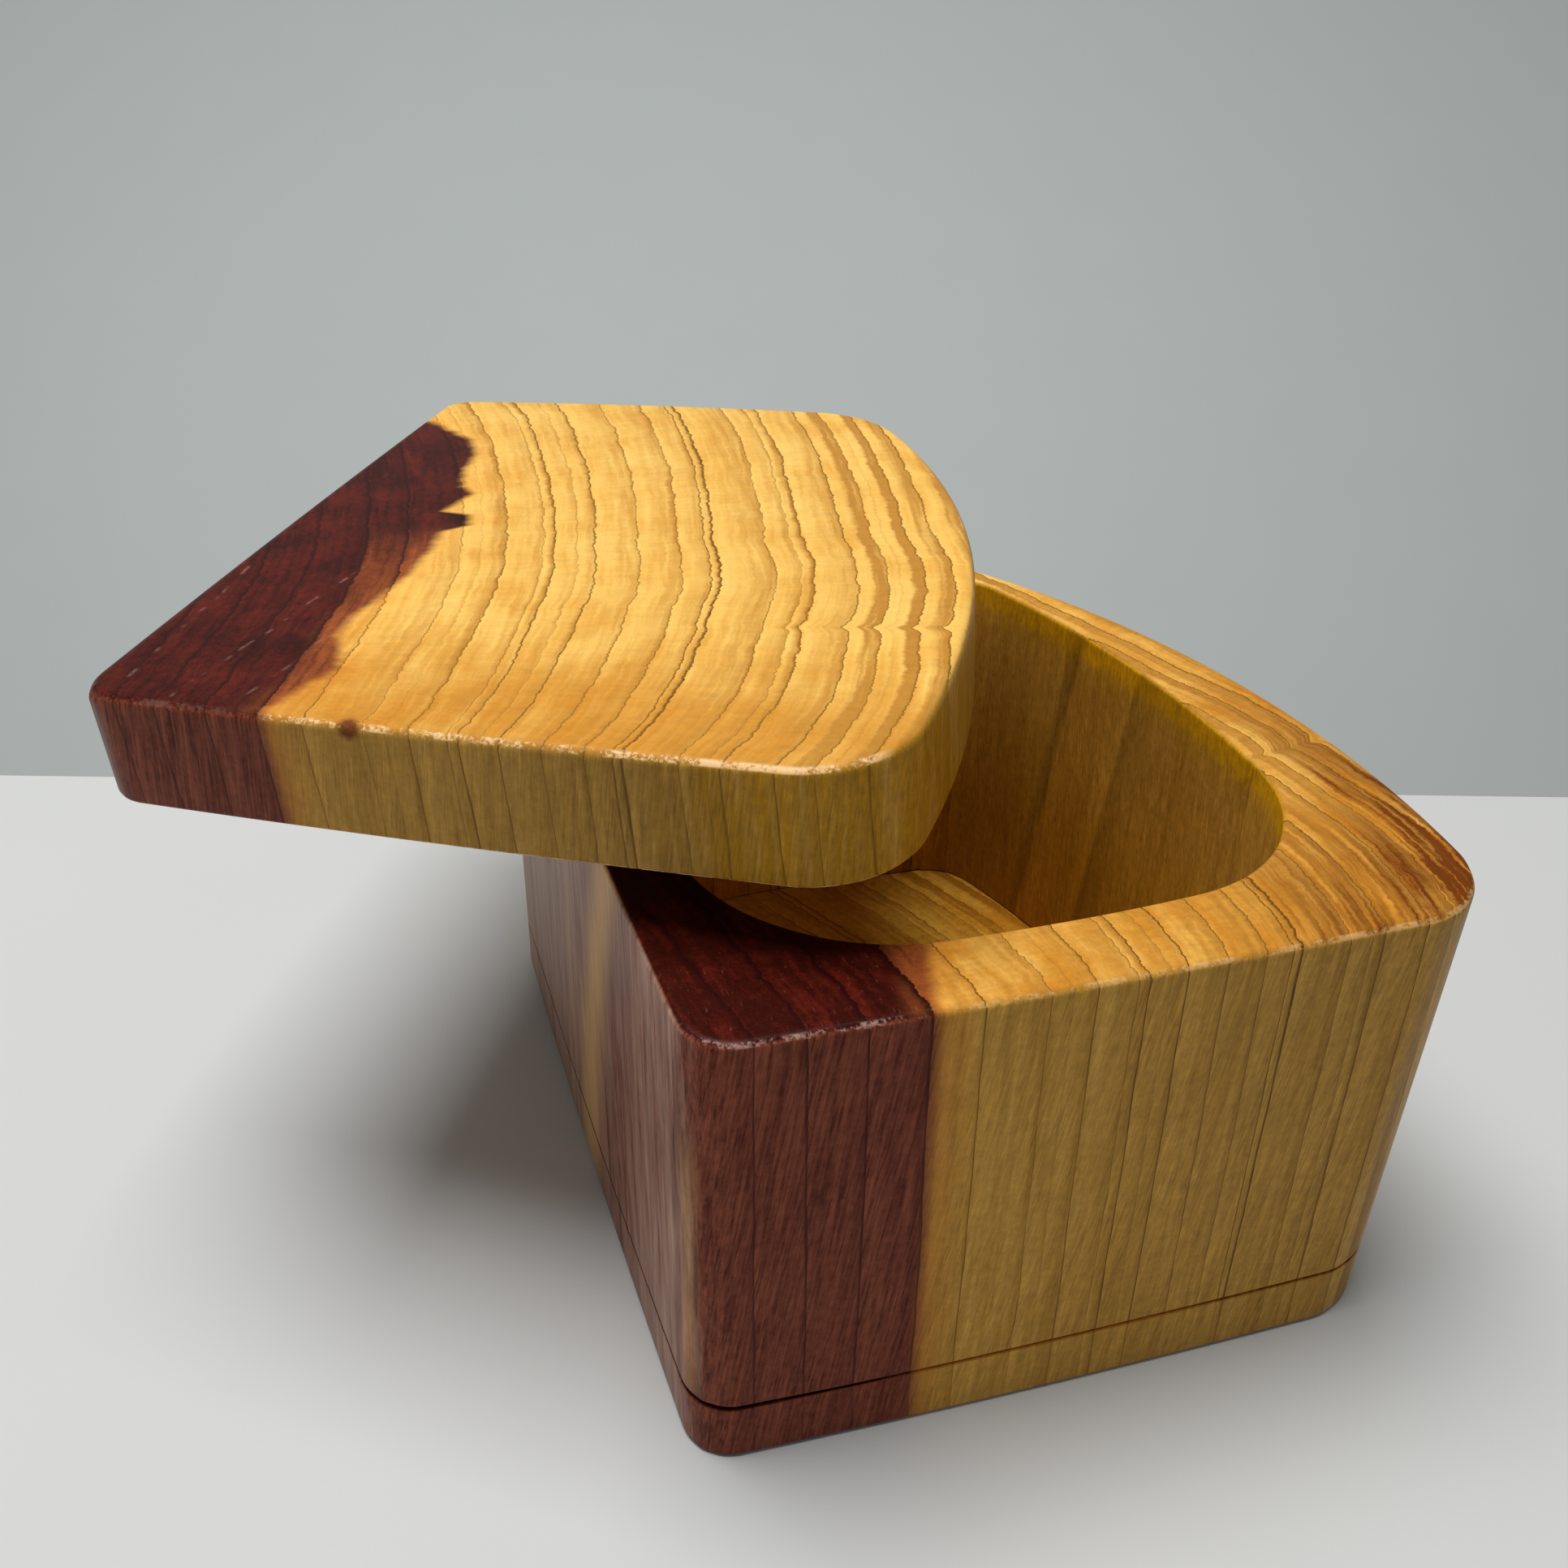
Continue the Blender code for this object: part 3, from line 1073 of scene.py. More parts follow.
class CedarWood(Shader):
    """Cedar of the whole block, as the material of one finish.

    Distances are millimetres of the block, shares go from 0 to 1, and patterns lie round 0.

    Attributes:
        place: place in the block.
        plan: the place without its height.
        height: height in the block.
        depth: depth under the shut lid's top.
        travel: distance along the front side.
        front: distance in from the front side.
        radius: distance from the pith.
        angle: angle round the pith, in degrees.
        outwards: direction away from the pith.
        level: how level the surface lies, 1 on tops and undersides.
        end: share of end grain.
        side: share of side grain.
        hollow: share of surfaces that face the cavity.
        leftward: share of surfaces that face left.
        frontal: share of surfaces that face the front or the back.
        crossing: how squarely the surface cuts across the rings.
        fibres: pattern of the finest grain.
        streaks: pattern of upright streaks.
        mottle: pattern of blotches and pores.
        hairs: pattern of short slanted fibres that the saw raised.
        even: radius with the unevenness of the rings taken out.
        bands: pattern of faint bands along the rings.
        clouds: pattern of broad changes of tone.
        line: share of the dark line that ends a ring.
        vein: share of the broader dark line that a ring has in the heartwood.
        late: share of late wood.
    """

    index_of_refraction = 1.30
    bump_strength = 0.3
    bump_distance = 0.0001
    growth = GrowthRings()
    heart = Heartwood()
    sap = Sapwood()
    left = LeftSide()
    wear = Wear()

    def __init__(self, finish: Finish, shape: BlockShape, block_top: float) -> None:
        """Work out the growth pattern and colour it.

        Args:
            finish: the surface that is wanted.
            shape: the block in plan.
            block_top: height of the shut lid's top.
        """
        super().__init__(finish.name)
        self.finish = finish
        self.corners = tuple(corner * PER_METRE for corner in shape.corners())
        self.locate(block_top)
        self.face()
        self.roughen()
        self.grow()
        self.paint()

    def locate(self, block_top: float) -> None:
        """Find the place in the block.

        Args:
            block_top: height of the shut lid's top.
        """
        growth = self.growth
        place = self.here()
        if self.finish.pose:
            location, turn = self.finish.pose
            values = {"Vector": place, "Location": location, "Rotation": turn}
            place = self.node("ShaderNodeMapping", {"vector_type": "TEXTURE"}, values)
        self.place = self.scale(place, PER_METRE)
        x, y, self.height = self.split(self.place)
        self.plan = self.vector(x, y, 0)
        self.depth = block_top - self.height
        across = x - growth.pith[0] - self.depth * growth.lean
        along = (y - growth.pith[1]) * growth.flattening
        self.radius = (across * across + along * along) ** 0.5
        self.angle = along.math("ARCTAN2", across) * math.degrees(1)
        self.outwards = self.vector(across / self.radius, along / self.radius, 0)
        self.travel, self.front = self.from_side(Side.FRONT)

    def from_line(self, start: Vector, end: Vector) -> tuple[Socket, ...]:
        """Measure the place from a line in plan.

        Args:
            start: first point of the line.
            end: second point.

        Returns:
            Distance along the line from its first point, and distance to its left.
        """
        axes = (end - start).normalized(), left_normal(start, end)
        return tuple(self.dot(self.place, axis.to_3d()) - start.dot(axis) for axis in axes)

    def from_side(self, side: Side) -> tuple[Socket, ...]:
        """Measure the place from one side of the block, as from a line."""
        return self.from_line(self.corners[side], self.corners[(side + 1) % len(self.corners)])

    def face(self) -> None:
        """Find out what the surface is from the direction that it faces in the block."""
        facing = self.node("ShaderNodeNewGeometry", {}, {}, "Normal")
        if self.finish.pose:
            settings = {"rotation_type": "EULER_XYZ", "invert": True}
            values = {"Vector": facing, "Rotation": self.finish.pose[1]}
            facing = self.node("ShaderNodeVectorRotate", settings, values)
        front, right, _, left = self.corners
        forwards, leftwards = -left_normal(front, right), -left_normal(left, front)
        aslant, square = 0.45, 0.85
        turned, frontal = 0.70, 0.72
        cross_cut, flat_cut = 0.72, 0.98
        edge_on = 3
        self.level = self.dot(facing, (0, 0, 1)).size()
        self.end = self.level.step(aslant, square)
        self.side = 1 - self.end
        self.hollow = self.dot(facing, self.plan).drop(-edge_on, edge_on) * self.side
        leftward = self.dot(facing, leftwards.to_3d()).step(aslant, square)
        self.leftward = leftward * self.side * (1 - self.hollow)
        self.frontal = self.dot(facing, forwards.to_3d()).size().step(turned, frontal)
        flatness = self.dot(facing, self.outwards).size().step(cross_cut, flat_cut)
        self.crossing = flatness.between(1, 0.25)

    def roughen(self) -> None:
        """Lay out the patterns that don't follow the rings."""
        travel, front, height = self.travel, self.front, self.height
        drift, slope = height * 0.04, height * 0.85
        fine, middle, coarse = 4.4, 2.3, 0.8
        fibres = (travel * middle - height * 0.35, front * middle, height / 18)
        self.fibres = self.noise(fibres, detail=4.0, roughness=0.7)
        streaks = (travel * coarse - drift, front * coarse - drift, height / 32)
        self.streaks = self.noise(streaks, detail=3.0, roughness=0.65)
        self.mottle = self.noise(self.scale(self.place, 0.7), detail=5.0, roughness=0.75)
        along, across = slope * self.frontal, slope * (1 - self.frontal)
        hairs = self.noise((travel * fine - along, front * fine - across, height / 4.5), 1.0)
        self.hairs = hairs * (1 + self.noise(self.scale(self.place, 0.13)) * 2.6)

    def tone(self, level: Number, **weights: float) -> Socket:
        """Let patterns change a level.

        Args:
            level: the level where all patterns are 0.
            weights: how much of each pattern is added, by the pattern's name.

        Returns:
            The changed level.
        """
        return sum((getattr(self, name) * weight for name, weight in weights.items()), level)

    def grow(self) -> None:
        """Lay out the growth rings and the patterns that follow them."""
        growth, finish = self.growth, self.finish
        angle, radius, depth = self.angle, self.radius, self.depth
        inner, outer = (self.curve(angle, bend) for bend in (growth.inner_bend, growth.outer_bend))
        bend = radius.step(*growth.bend_reach).between(inner, outer)
        kink = angle.hump(depth * growth.kink_drift + growth.kink_angle, growth.kink_width)
        kink = kink * radius.step(*growth.kink_reach)
        slow = self.noise((angle * 0.5, radius / 16, depth / 60), detail=1.0)
        quick = self.noise((angle * 1.5, radius / 6, depth / 90), detail=4.0, roughness=0.82)
        waver = slow * growth.slow_waver + quick * growth.quick_waver
        self.even = radius - bend + kink * growth.kink_depth + waver
        self.bands = self.noise((angle * 0.22, self.even, depth / 60), roughness=0.6)
        self.clouds = self.noise((angle / 3, self.even / 10, depth / 70))

        width, strength, late, phase = self.ring()
        strength = strength * finish.line_share
        gap = (1 - phase) * width
        full, broadly_full = 0.05, 0.1
        line = strength * gap.drop(full, self.end.between(*growth.line_width))
        self.line = line * self.tone(0.85, mottle=1.2) * self.crossing
        side_width, end_width = growth.vein_width
        end_width = end_width + finish.ripeness * growth.ripe_vein_width
        vein = strength * gap.drop(broadly_full, self.end.between(side_width, end_width))
        self.vein = vein * self.tone(0.9, mottle=1.0) * self.crossing
        shadow = strength * gap.drop(broadly_full, growth.shadow_width) * growth.shadow
        early = self.even.step(*growth.early_reach)
        late = late * early.between(phase ** growth.late_rise, phase.step(*growth.early_rise))
        late = late * self.even.step(*growth.late_reach).between(*growth.late_shares)
        self.late = (late + shadow) * self.tone(0.8, bands=2.2) * self.crossing

    def ring(self) -> tuple[Socket, Socket, Socket, Socket]:
        """Find the ring of the place.

        Returns:
            Width, strength of the line and of the late wood, and how far through the ring it is.
        """
        unit = 10.0
        rings = self.growth.rings
        count = len(rings) - 1
        index = self.curve(self.even, [(ring[0], number) for number, ring in enumerate(rings)])
        number = index.math("FLOOR")
        stops = []
        for row, (inner, outer) in enumerate(zip(rings, rings[1:])):
            stops.append((row / count, ((outer[0] - inner[0]) / unit, *outer[1:])))
        table = self.node("ShaderNodeValToRGB", {"stops": stops}, {0: (number + 0.5) / count})
        width, strength, late = self.split(table, "ShaderNodeSeparateColor")
        return width * unit, strength, late, index - number

    def sap_end(self) -> Socket:
        """Colour the end grain of the sapwood.

        Returns:
            The colour.
        """
        sap, finish = self.sap, self.finish
        tone = self.tone(0.5, clouds=1.6, bands=1.3, mottle=0.8)
        color = self.mix(tone, sap.light, sap.golden)
        riper = self.front.drop(*sap.back_reach) + self.travel.step(*sap.right_reach)
        ripe = self.front.drop(*sap.front_reach) * finish.front_ripeness + riper * finish.ripeness
        ripe = self.tone(ripe, clouds=1.1 * finish.band_share, bands=0.7)
        color = self.mix(ripe, color, sap.amber)
        color = self.mix(self.late * finish.band_share, color, sap.late)
        # painted shade: low end grain, the cavity's floor, is multiplied by the hollow tint
        color = self.mix(self.height.drop(*sap.floor) * 0.8, color, sap.hollow, "MULTIPLY")
        away = self.away(self.place, sap.corner, (1, 1, 0))
        outer = self.even.step(*sap.outer_ring) * away.drop(*sap.outer_reach) * 0.7
        stain = (away.drop(*sap.corner_reach) + outer) * self.height.drop(*sap.rim)
        color = self.mix(stain * self.tone(0.62, bands=3.2, mottle=1.2), color, sap.dark)
        rays = self.noise((self.angle * 4.5, self.radius / 3, self.height / 9), detail=3.0)
        light = self.tone(1 + rays * 0.3, fibres=0.15, mottle=0.3 + finish.ripeness * 1.4)
        return self.mix(self.line * 1.05, self.scale(color, light), sap.line)

    def sap_side(self) -> Socket:
        """Colour the sides of the sapwood.

        Returns:
            The colour.
        """
        sap, finish = self.sap, self.finish
        tone = self.tone(0.5, clouds=1.0, bands=0.9, streaks=1.6, fibres=0.5)
        color = self.mix(tone, sap.side_light, sap.side_dark)
        color = self.mix(self.late * 0.6, color, sap.side_late)
        # painted light falloff: the sides brighten to 1.1 on the left and dim to 0.9 towards the
        # right
        painted_falloff = self.travel.step(*sap.falloff_reach).between(1.1, 0.9)
        light = self.tone(painted_falloff, hairs=0.55, fibres=1.0, mottle=0.85) * finish.side_level
        if finish.marks:
            brown = self.even.step(*sap.brown_reach) * self.tone(0.75, streaks=2.0, bands=2.0)
            color = self.mix(brown, color, sap.side_brown)
            # painted highlight: the lid's side is brightened by up to 1.2 across the outer rings
            # by its right corner
            light = light * self.even.step(*sap.highlight_reach).between(1, 1.2)
        # painted shade: the cavity's walls are multiplied by the hollow tint, most deeply low down
        deep = self.hollow * self.height.step(*sap.deep_in).between(0.95, 0.50)
        color = self.mix(deep, color, sap.hollow, "MULTIPLY")
        # painted light: a warm lit band on the cavity's wall just under the rim
        rim_light_share = self.height.step(*sap.under_rim) * 0.35 + self.height.step(*sap.at_rim) * 0.5
        color = self.mix(self.hollow * rim_light_share, color, sap.painted_rim_light)
        travel = self.from_side(Side.RIGHT)[0] + self.streaks
        drifted = travel + (self.height - sap.rim[0]) * sap.hollow_drift
        banded = self.hollow.between(1, self.curve(drifted, sap.hollow_bands))
        color = self.scale(self.scale(color, banded), light)
        return self.mix(self.line * 0.85, color, sap.side_line)

    def heart_end(self, inside: Socket) -> Socket:
        """Colour the end grain of the heartwood.

        Args:
            inside: distance inwards from the heartwood's edge.

        Returns:
            The colour.
        """
        heart, finish = self.heart, self.finish
        tone = self.tone(0.45 - finish.ripeness * 0.8, clouds=2.2, bands=2.4, mottle=1.2)
        color = self.mix(tone, heart.deep, heart.red)
        near_edge = inside.drop(*heart.rusty_reach) * (0.6 + finish.ripeness * 0.7)
        rusty = near_edge + self.even.step(*heart.rusty_ring) * 0.5
        rusty = rusty * self.angle.drop(*heart.rusty_angles) * self.tone(0.9, bands=2.5)
        color = self.mix(rusty, color, heart.rusty)
        color = self.mix(self.late * 0.8, color, heart.deep)
        if not finish.marks:
            sawn = self.noise((self.travel * 2.4, self.front * 0.5, 0), detail=3.0, roughness=0.7)
            scuffs = sawn.step(0.10, 0.3) * self.front.drop(*heart.scuff_front)
            scuffs = scuffs * self.travel.step(*heart.scuff_travel).between(0.5, 1)
            color = self.mix(scuffs, color, heart.scuff)
            # painted shadow of the lid: the rim's heartwood is darkened to 0.6 towards the back
            color = self.scale(color, self.front.step(*heart.lid_shadow_front).between(1, 0.6))
        color = self.mix(self.vein * 0.95, color, heart.line)
        knot = self.radius.hump(heart.knot[0], heart.knot_reach[0])
        knot = knot * self.angle.hump(heart.knot[1], heart.knot_reach[1])
        color = self.mix(knot * 0.85, color, heart.line)
        return self.scale(color, self.tone(1, mottle=1.1, fibres=0.8))

    def heart_side(self) -> Socket:
        """Colour the sides of the heartwood.

        Returns:
            The colour.
        """
        heart = self.heart
        tone = self.tone(0.47, hairs=0.9, fibres=2.3, streaks=1.3, mottle=1.3)
        color = self.mix(tone, heart.side_deep, heart.side_light)
        color = self.mix(self.late * 0.6, color, heart.side_deep)
        color = self.scale(color, 0.75 + self.finish.side_level * 0.25)
        return self.mix(self.vein * 0.8, color, heart.side_line)

    def left_side(self, color: Socket) -> Socket:
        """Lay a painted reflection of the bright surroundings over the left side, then its streaks
        of paler wood.

        Args:
            color: colour so far.

        Returns:
            The colour.
        """
        left, height = self.left, self.height
        travel = self.from_side(Side.LEFT)[0]
        waver = self.noise((travel / 2.5, 0, height / 25))
        total: Number = 0.0
        for streak in left.streaks:
            away = (travel - self.curve(height, streak.line)).size()
            shown = (away + waver * streak.reach[1] * 0.6).drop(*streak.reach) * streak.strength
            if streak.bottom:
                shown = shown * height.step(*streak.bottom)
            if streak.top:
                shown = shown * height.drop(*streak.top)
            total = total + shown
        on_left = self.leftward * height.drop(*left.below)
        light = self.tone(1, hairs=0.3, streaks=0.6, mottle=0.5)
        # painted reflection: the left side is mixed towards a greyish mauve standing for the
        # bright surroundings
        fade = self.tone(self.curve(travel, left.fade) + waver * 1.2, streaks=1.5) * on_left
        color = self.mix(fade, color, self.scale(left.painted_reflection, light))
        return self.mix(total * on_left, color, self.scale(left.tan, light))

    def torn_and_highlight(self) -> Socket:
        """Find where fibres are worn along the rounded front edges, partly a painted highlight.

        Returns:
            Share of worn fibres and painted highlight.
        """
        edge = self.level.step(*self.wear.torn_steep) * self.level.drop(*self.wear.torn_flat)
        patches = self.noise(self.scale(self.place, 0.25), detail=3.0, roughness=0.7)
        specks = self.noise(self.scale(self.place, 2.2), roughness=0.7)
        most = self.travel.step(*self.wear.torn_right).between(0.45, 0.75)
        torn_and_highlight = (patches * 2.8 + specks * 2.4 + most).step(0.25, 1.0)
        return edge * self.front.drop(*self.wear.torn_front) * torn_and_highlight

    def marks(self, heartwood: Socket, specks: Socket) -> Socket:
        """Find the scratches.

        Args:
            heartwood: share of heartwood.
            specks: fine pattern.

        Returns:
            Share of the marks.
        """
        marks: Number = 0.0
        for order, ends in enumerate(self.wear.scratches):
            start, end = (Vector(spot) for spot in ends)
            travel, offset = self.from_line(start, end)
            length = (end - start).length
            sway = self.noise((travel / 9, order * 7, 0), detail=1.0) * self.wear.scratch_sway
            dashes = self.noise((travel / 3.4, order * 5 + 3, 2), detail=1.0)
            inside = travel.step(-1, 1) * travel.drop(length - 1, length)
            narrow = (offset - sway).size().drop(*self.wear.scratch_width)
            marks = marks + narrow * inside * dashes.step(-0.02, 0.14)
        return marks * (specks + 0.5).step(0.2, 0.8) * self.end * heartwood.between(0.3, 1)

    def paint(self) -> None:
        """Lay the colours over one another and give the surface its other values."""
        finish, heart, wear = self.finish, self.heart, self.wear
        ragged = self.noise((self.angle * 1.6, self.radius / 5, self.height / 25), detail=3.0)
        ragged = ragged * self.end.between(*heart.raggedness)
        inside = self.curve(self.angle, heart.edge) - self.radius + ragged
        heartwood = (inside / self.end.between(*heart.softness)).step(-1, 1)
        sap = self.mix(self.end, self.sap_side(), self.sap_end())
        halo = inside.step(*self.sap.halo_reach) * self.end.between(*self.sap.halo_shares)
        sap = self.mix(halo, sap, self.sap.halo, "MULTIPLY")
        rust = inside.step(*self.sap.rust_reach) * self.side * self.sap.rust_share
        sap = self.mix(rust, sap, heart.rusty)
        dark = self.mix(self.end, self.heart_side(), self.heart_end(inside))
        color = self.mix(heartwood, sap, dark)
        rough = self.tone(finish.roughness, fibres=0.15, mottle=0.2)
        height = self.tone(0, fibres=0.5, hairs=0.4, mottle=0.5, line=-0.15)
        if finish.painted_reflection:
            color = self.left_side(color)
            seam = (self.height - wear.seam).size().drop(*wear.seam_reach)
            seam = seam * self.side * (1 - self.hollow) * 0.7
            color = self.mix(seam, color, wear.knot_color)
        # worn sapwood fibres along the rounded edges, partly a painted highlight; on the heartwood
        # a painted highlight
        if finish.edge_wear_and_highlight:
            torn_and_highlight = self.torn_and_highlight() * heartwood.between(finish.edge_wear_and_highlight, finish.heart_edge_highlight)
            color = self.mix(torn_and_highlight, color, self.mix(heartwood, wear.pale, wear.scratch_and_highlight))
            rough = rough + torn_and_highlight * 0.25
            height = height + torn_and_highlight * 1.5
        if finish.marks:
            specks = self.noise(self.scale(self.place, 3.2), detail=3.0, roughness=0.8)
            marks = self.marks(heartwood, specks)
            color = self.mix(marks * 0.48, color, wear.scratch_and_highlight)
            distance = self.away(self.place, wear.knot, wear.knot_reach)
            knot = (distance + specks * 0.6).drop(0.45, 1.15)
            color = self.mix(knot * 0.9, color, wear.knot_color)
            rough = rough + marks * 0.2 + knot * 0.15

        bump = {"Strength": self.bump_strength, "Distance": self.bump_distance, "Height": height}
        for name, value in {
            "Base Color": color,
            "Roughness": rough,
            "IOR": self.index_of_refraction,
            "Specular IOR Level": finish.sheen,
            "Normal": self.node("ShaderNodeBump", {}, bump),
        }.items():
            self.feed(self.surface.inputs[name], value)


# Pieces


@dataclass(frozen=True)
class Assembly:
    """Pieces sawn from the block.

    Args:
        shape: the block in plan.
        body_top: height of the body's top.
    """

    segments = 8
    wall_rows = 6
    thin_rows = 3
    outer_phase = 0.4
    core_phase = 1.7

    shape: BlockShape
    body_top: float

    def outer(self, name: str, profile_at: ProfileRule) -> Slab:
        """Saw a slab with the block's outline."""
        return Slab(name, self.shape.outline(), self.outer_phase, profile_at)

    def core(self, name: str, profile_at: ProfileRule, clearance: float = 0) -> Slab:
        """Saw a slab with the cavity's outline, drawn in by a clearance."""
        return Slab(name, self.shape.cavity(clearance), self.core_phase, profile_at)


@dataclass(frozen=True)
class Box(Assembly):
    """Hollow body, its glued base and the glue between them, in metres."""

    body_bottom: float
    base_top: float
    rim_round: float = 0.0011
    cavity_round: float = 0.0008
    foot_round: float = 0.0008
    seam_round: float = 0.0003
    seam_gape: float = 0.0010
    seam_gape_reach: float = 0.022
    base_gape_share: float = 0.6
    glue_inset: float = 0.0009
    overrun: float = 0.01
    film_overrun: float = 0.0025

    def gape(self, point: Vector) -> float:
        """Give the rounding of the seam's edge, widest by the front corner."""
        share = (point - self.shape.corners()[0]).length / self.seam_gape_reach
        return blend(self.seam_gape, self.seam_round, share)

    def body(self) -> Slab:
        """Model the hollow body.

        Returns:
            The body.
        """

        def wall(point: Vector, _: Vector) -> Profile:
            """Draw the outer wall."""
            low, top = (self.body_bottom, self.gape(point)), (self.body_top, self.rim_round)
            return rounded_profile(low, top, self.segments, 2 * self.wall_rows)

        def cut(*_: Vector) -> Profile:
            """Draw the sawn inside."""
            low, high = self.body_bottom - self.overrun, self.body_top + self.overrun
            return flared_profile(low, self.body_top, high, self.cavity_round, self.segments)

        body = self.outer("hollow_body", wall)
        body.taper(self.shape, self.body_top)
        body.saw_out(self.core("core_saw", cut))
        body.polish()
        return body

    def base(self) -> Slab:
        """Model the base slice.

        Returns:
            The base.
        """

        def wall(point: Vector, _: Vector) -> Profile:
            """Draw the wall."""
            top = (self.base_top, self.gape(point) * self.base_gape_share)
            return rounded_profile((0, self.foot_round), top, self.segments, self.thin_rows)

        base = self.outer("glued_base", wall)
        base.taper(self.shape, self.body_top)
        base.polish()
        return base

    def glue(self) -> Slab:
        """Model the thin film of glue between the base and the body.

        Returns:
            The film.
        """

        def wall(*_: Vector) -> Profile:
            """Draw the film's edge."""
            return [(self.glue_inset, self.base_top), (self.glue_inset, self.body_bottom)]

        def cut(*_: Vector) -> Profile:
            """Draw the opening of the film."""
            low, high = self.base_top - self.film_overrun, self.body_bottom + self.film_overrun
            return [(-self.seam_round, low), (-self.seam_round, high)]

        film = self.outer("seam_glue", wall)
        film.taper(self.shape, self.body_top)
        film.saw_out(self.core("glue_saw", cut))
        film.polish(framed=False)
        return film

    def build(self, woods: dict[WoodSlot, bpy.types.Material], glue: bpy.types.Material) -> None:
        """Build and dress the pieces.

        Args:
            woods: the wood of each slot.
            glue: material of the glue.
        """
        self.body().dress(woods[WoodSlot.BODY], BodyName.BOX, WoodSlot.BODY, "body")
        self.base().dress(woods[WoodSlot.BASE], BodyName.BOX, WoodSlot.BASE, "base_slice")
        self.glue().dress(glue, BodyName.BOX, WoodSlot.BASE, None)


@dataclass(frozen=True)
class Lid(Assembly):
    """Lid slice with the plug of core wood glued under it, in metres.

    It lies as the turn, the lean about the x and y axes, the shift and the height above the
    body's top say.
    """

    turn: float = math.radians(-33.4)
    lean: Span = (math.radians(-0.45), math.radians(-4.55))
    shift: Span = (-0.0450, 0.0179)
    raised: float = 0.0068
    thickness: float = 0.0155
    edge_round: float = 0.0013
    left_round_at_front: float = 0.0026
    left_round_at_back: float = 0.0013
    under_round: float = 0.0006
    plug_gap: float = 0.0003
    plug_kerf: float = 0.0012
    plug_round: float = 0.0014
    plug_top_round: float = 0.0002
    deepest_round: float = 0.7
    rest_gap: float = 0.0003

    def pose(self) -> Matrix:
        """Give the pose of the lid's underside.

        Returns:
            Matrix from the lid's own frame to the scene.
        """
        lean = Euler((*self.lean, 0)).to_matrix()
        turn = Euler((0, 0, self.turn)).to_matrix()
        location = Vector((*self.shift, self.body_top + self.raised))
        return Matrix.Translation(location) @ (lean @ turn).to_4x4()

    def block_pose(self) -> tuple[Vector, Euler]:
        """Give the place and turn of a whole block whose top is the lid as it lies."""
        pose = self.pose() @ Matrix.Translation((0, 0, -self.body_top))
        return pose.to_translation(), pose.to_euler()

    def slice(self) -> Slab:
        """Model the lid slice.

        Returns:
            The lid.
        """
        front, *_, left = self.shape.corners()
        leftwards, to_left = -left_normal(left, front), left - front

        def wall(point: Vector, facing: Vector) -> Profile:
            """Draw the lid's edge, softest on its left.

            Args:
                point: point of the outline.
                facing: direction that the wall faces there.

            Returns:
                The profile.
            """
            share = (point - front).dot(to_left) / to_left.length_squared
            left_round = blend(self.left_round_at_front, self.left_round_at_back, share)
            top_round = blend(self.edge_round, left_round, facing.dot(leftwards))
            low, top = (0, self.under_round), (self.thickness, top_round)
            return rounded_profile(low, top, self.segments, self.wall_rows)

        lid = self.outer("lid_slice", wall)
        lid.polish()
        lid.settle(self.pose())
        return lid

    def plug(self) -> Slab:
        """Model the plug, its underside sawn so that it lies flat on the body.

        Returns:
            The plug.
        """
        turn, place = self.pose().to_3x3(), self.pose().to_translation()
        under = self.body_top + self.rest_gap

        def floor_at(point: Vector) -> float:
            """Give the underside's height in the lid's own frame."""
            return (under - place.z - turn[2].xy.dot(point)) / turn[2][2]

        def wall(point: Vector, facing: Vector) -> Profile:
            """Draw the plug's edge, down to its slanting underside.

            Args:
                point: point of the outline.
                facing: direction that the wall faces there.

            Returns:
                The profile.
            """
            low, high = floor_at(point), -self.plug_gap
            radius = min(self.plug_round, (high - low) * self.deepest_round)
            top = (high, self.plug_top_round)
            rows = rounded_profile((low, radius), top, self.segments, self.thin_rows)
            lowest = floor_at(point - facing * rows[0][0]) - low
            return [(inset, height + lowest * inset / radius) for inset, height in rows]

        plug = self.core("core_plug", wall, self.plug_kerf)
        plug.polish()
        plug.settle(self.pose())
        return plug

    def build(self, woods: dict[WoodSlot, bpy.types.Material]) -> None:
        """Build and dress the pieces.

        Args:
            woods: the wood of each slot.
        """
        self.slice().dress(woods[WoodSlot.LID], BodyName.LOOSE_LID, WoodSlot.LID, "lid")
        self.plug().dress(woods[WoodSlot.CORE], BodyName.LOOSE_LID, WoodSlot.CORE, "lid_plug")


# Setting


@dataclass(frozen=True)
class Camera:
    """Camera of the photograph, found from the box's own outline."""

    name: str = "photo_camera"
    place: Point = (-0.014725, -0.19051, 0.18167)
    pitch: float = math.radians(90 - 32.056)
    roll: float = math.radians(1.430)
    focal_pixels: float = 1934.0
    frame_pixels: float = 1932.0
    sensor: float = 36.0
    nearest: float = 0.01

    def build(self) -> None:
        """Set the camera up and make it the scene's own."""
        data = bpy.data.cameras.new(self.name)
        data.sensor_width = self.sensor
        data.lens = self.sensor * self.focal_pixels / self.frame_pixels
        data.clip_start = self.nearest
        camera = bpy.data.objects.new(self.name, data)
        turn = Euler((self.pitch, 0, 0)).to_matrix() @ Euler((0, 0, self.roll)).to_matrix()
        camera.matrix_world = Matrix.Translation(self.place) @ turn.to_4x4()
        bpy.context.scene.collection.objects.link(camera)
        bpy.context.scene.camera = camera


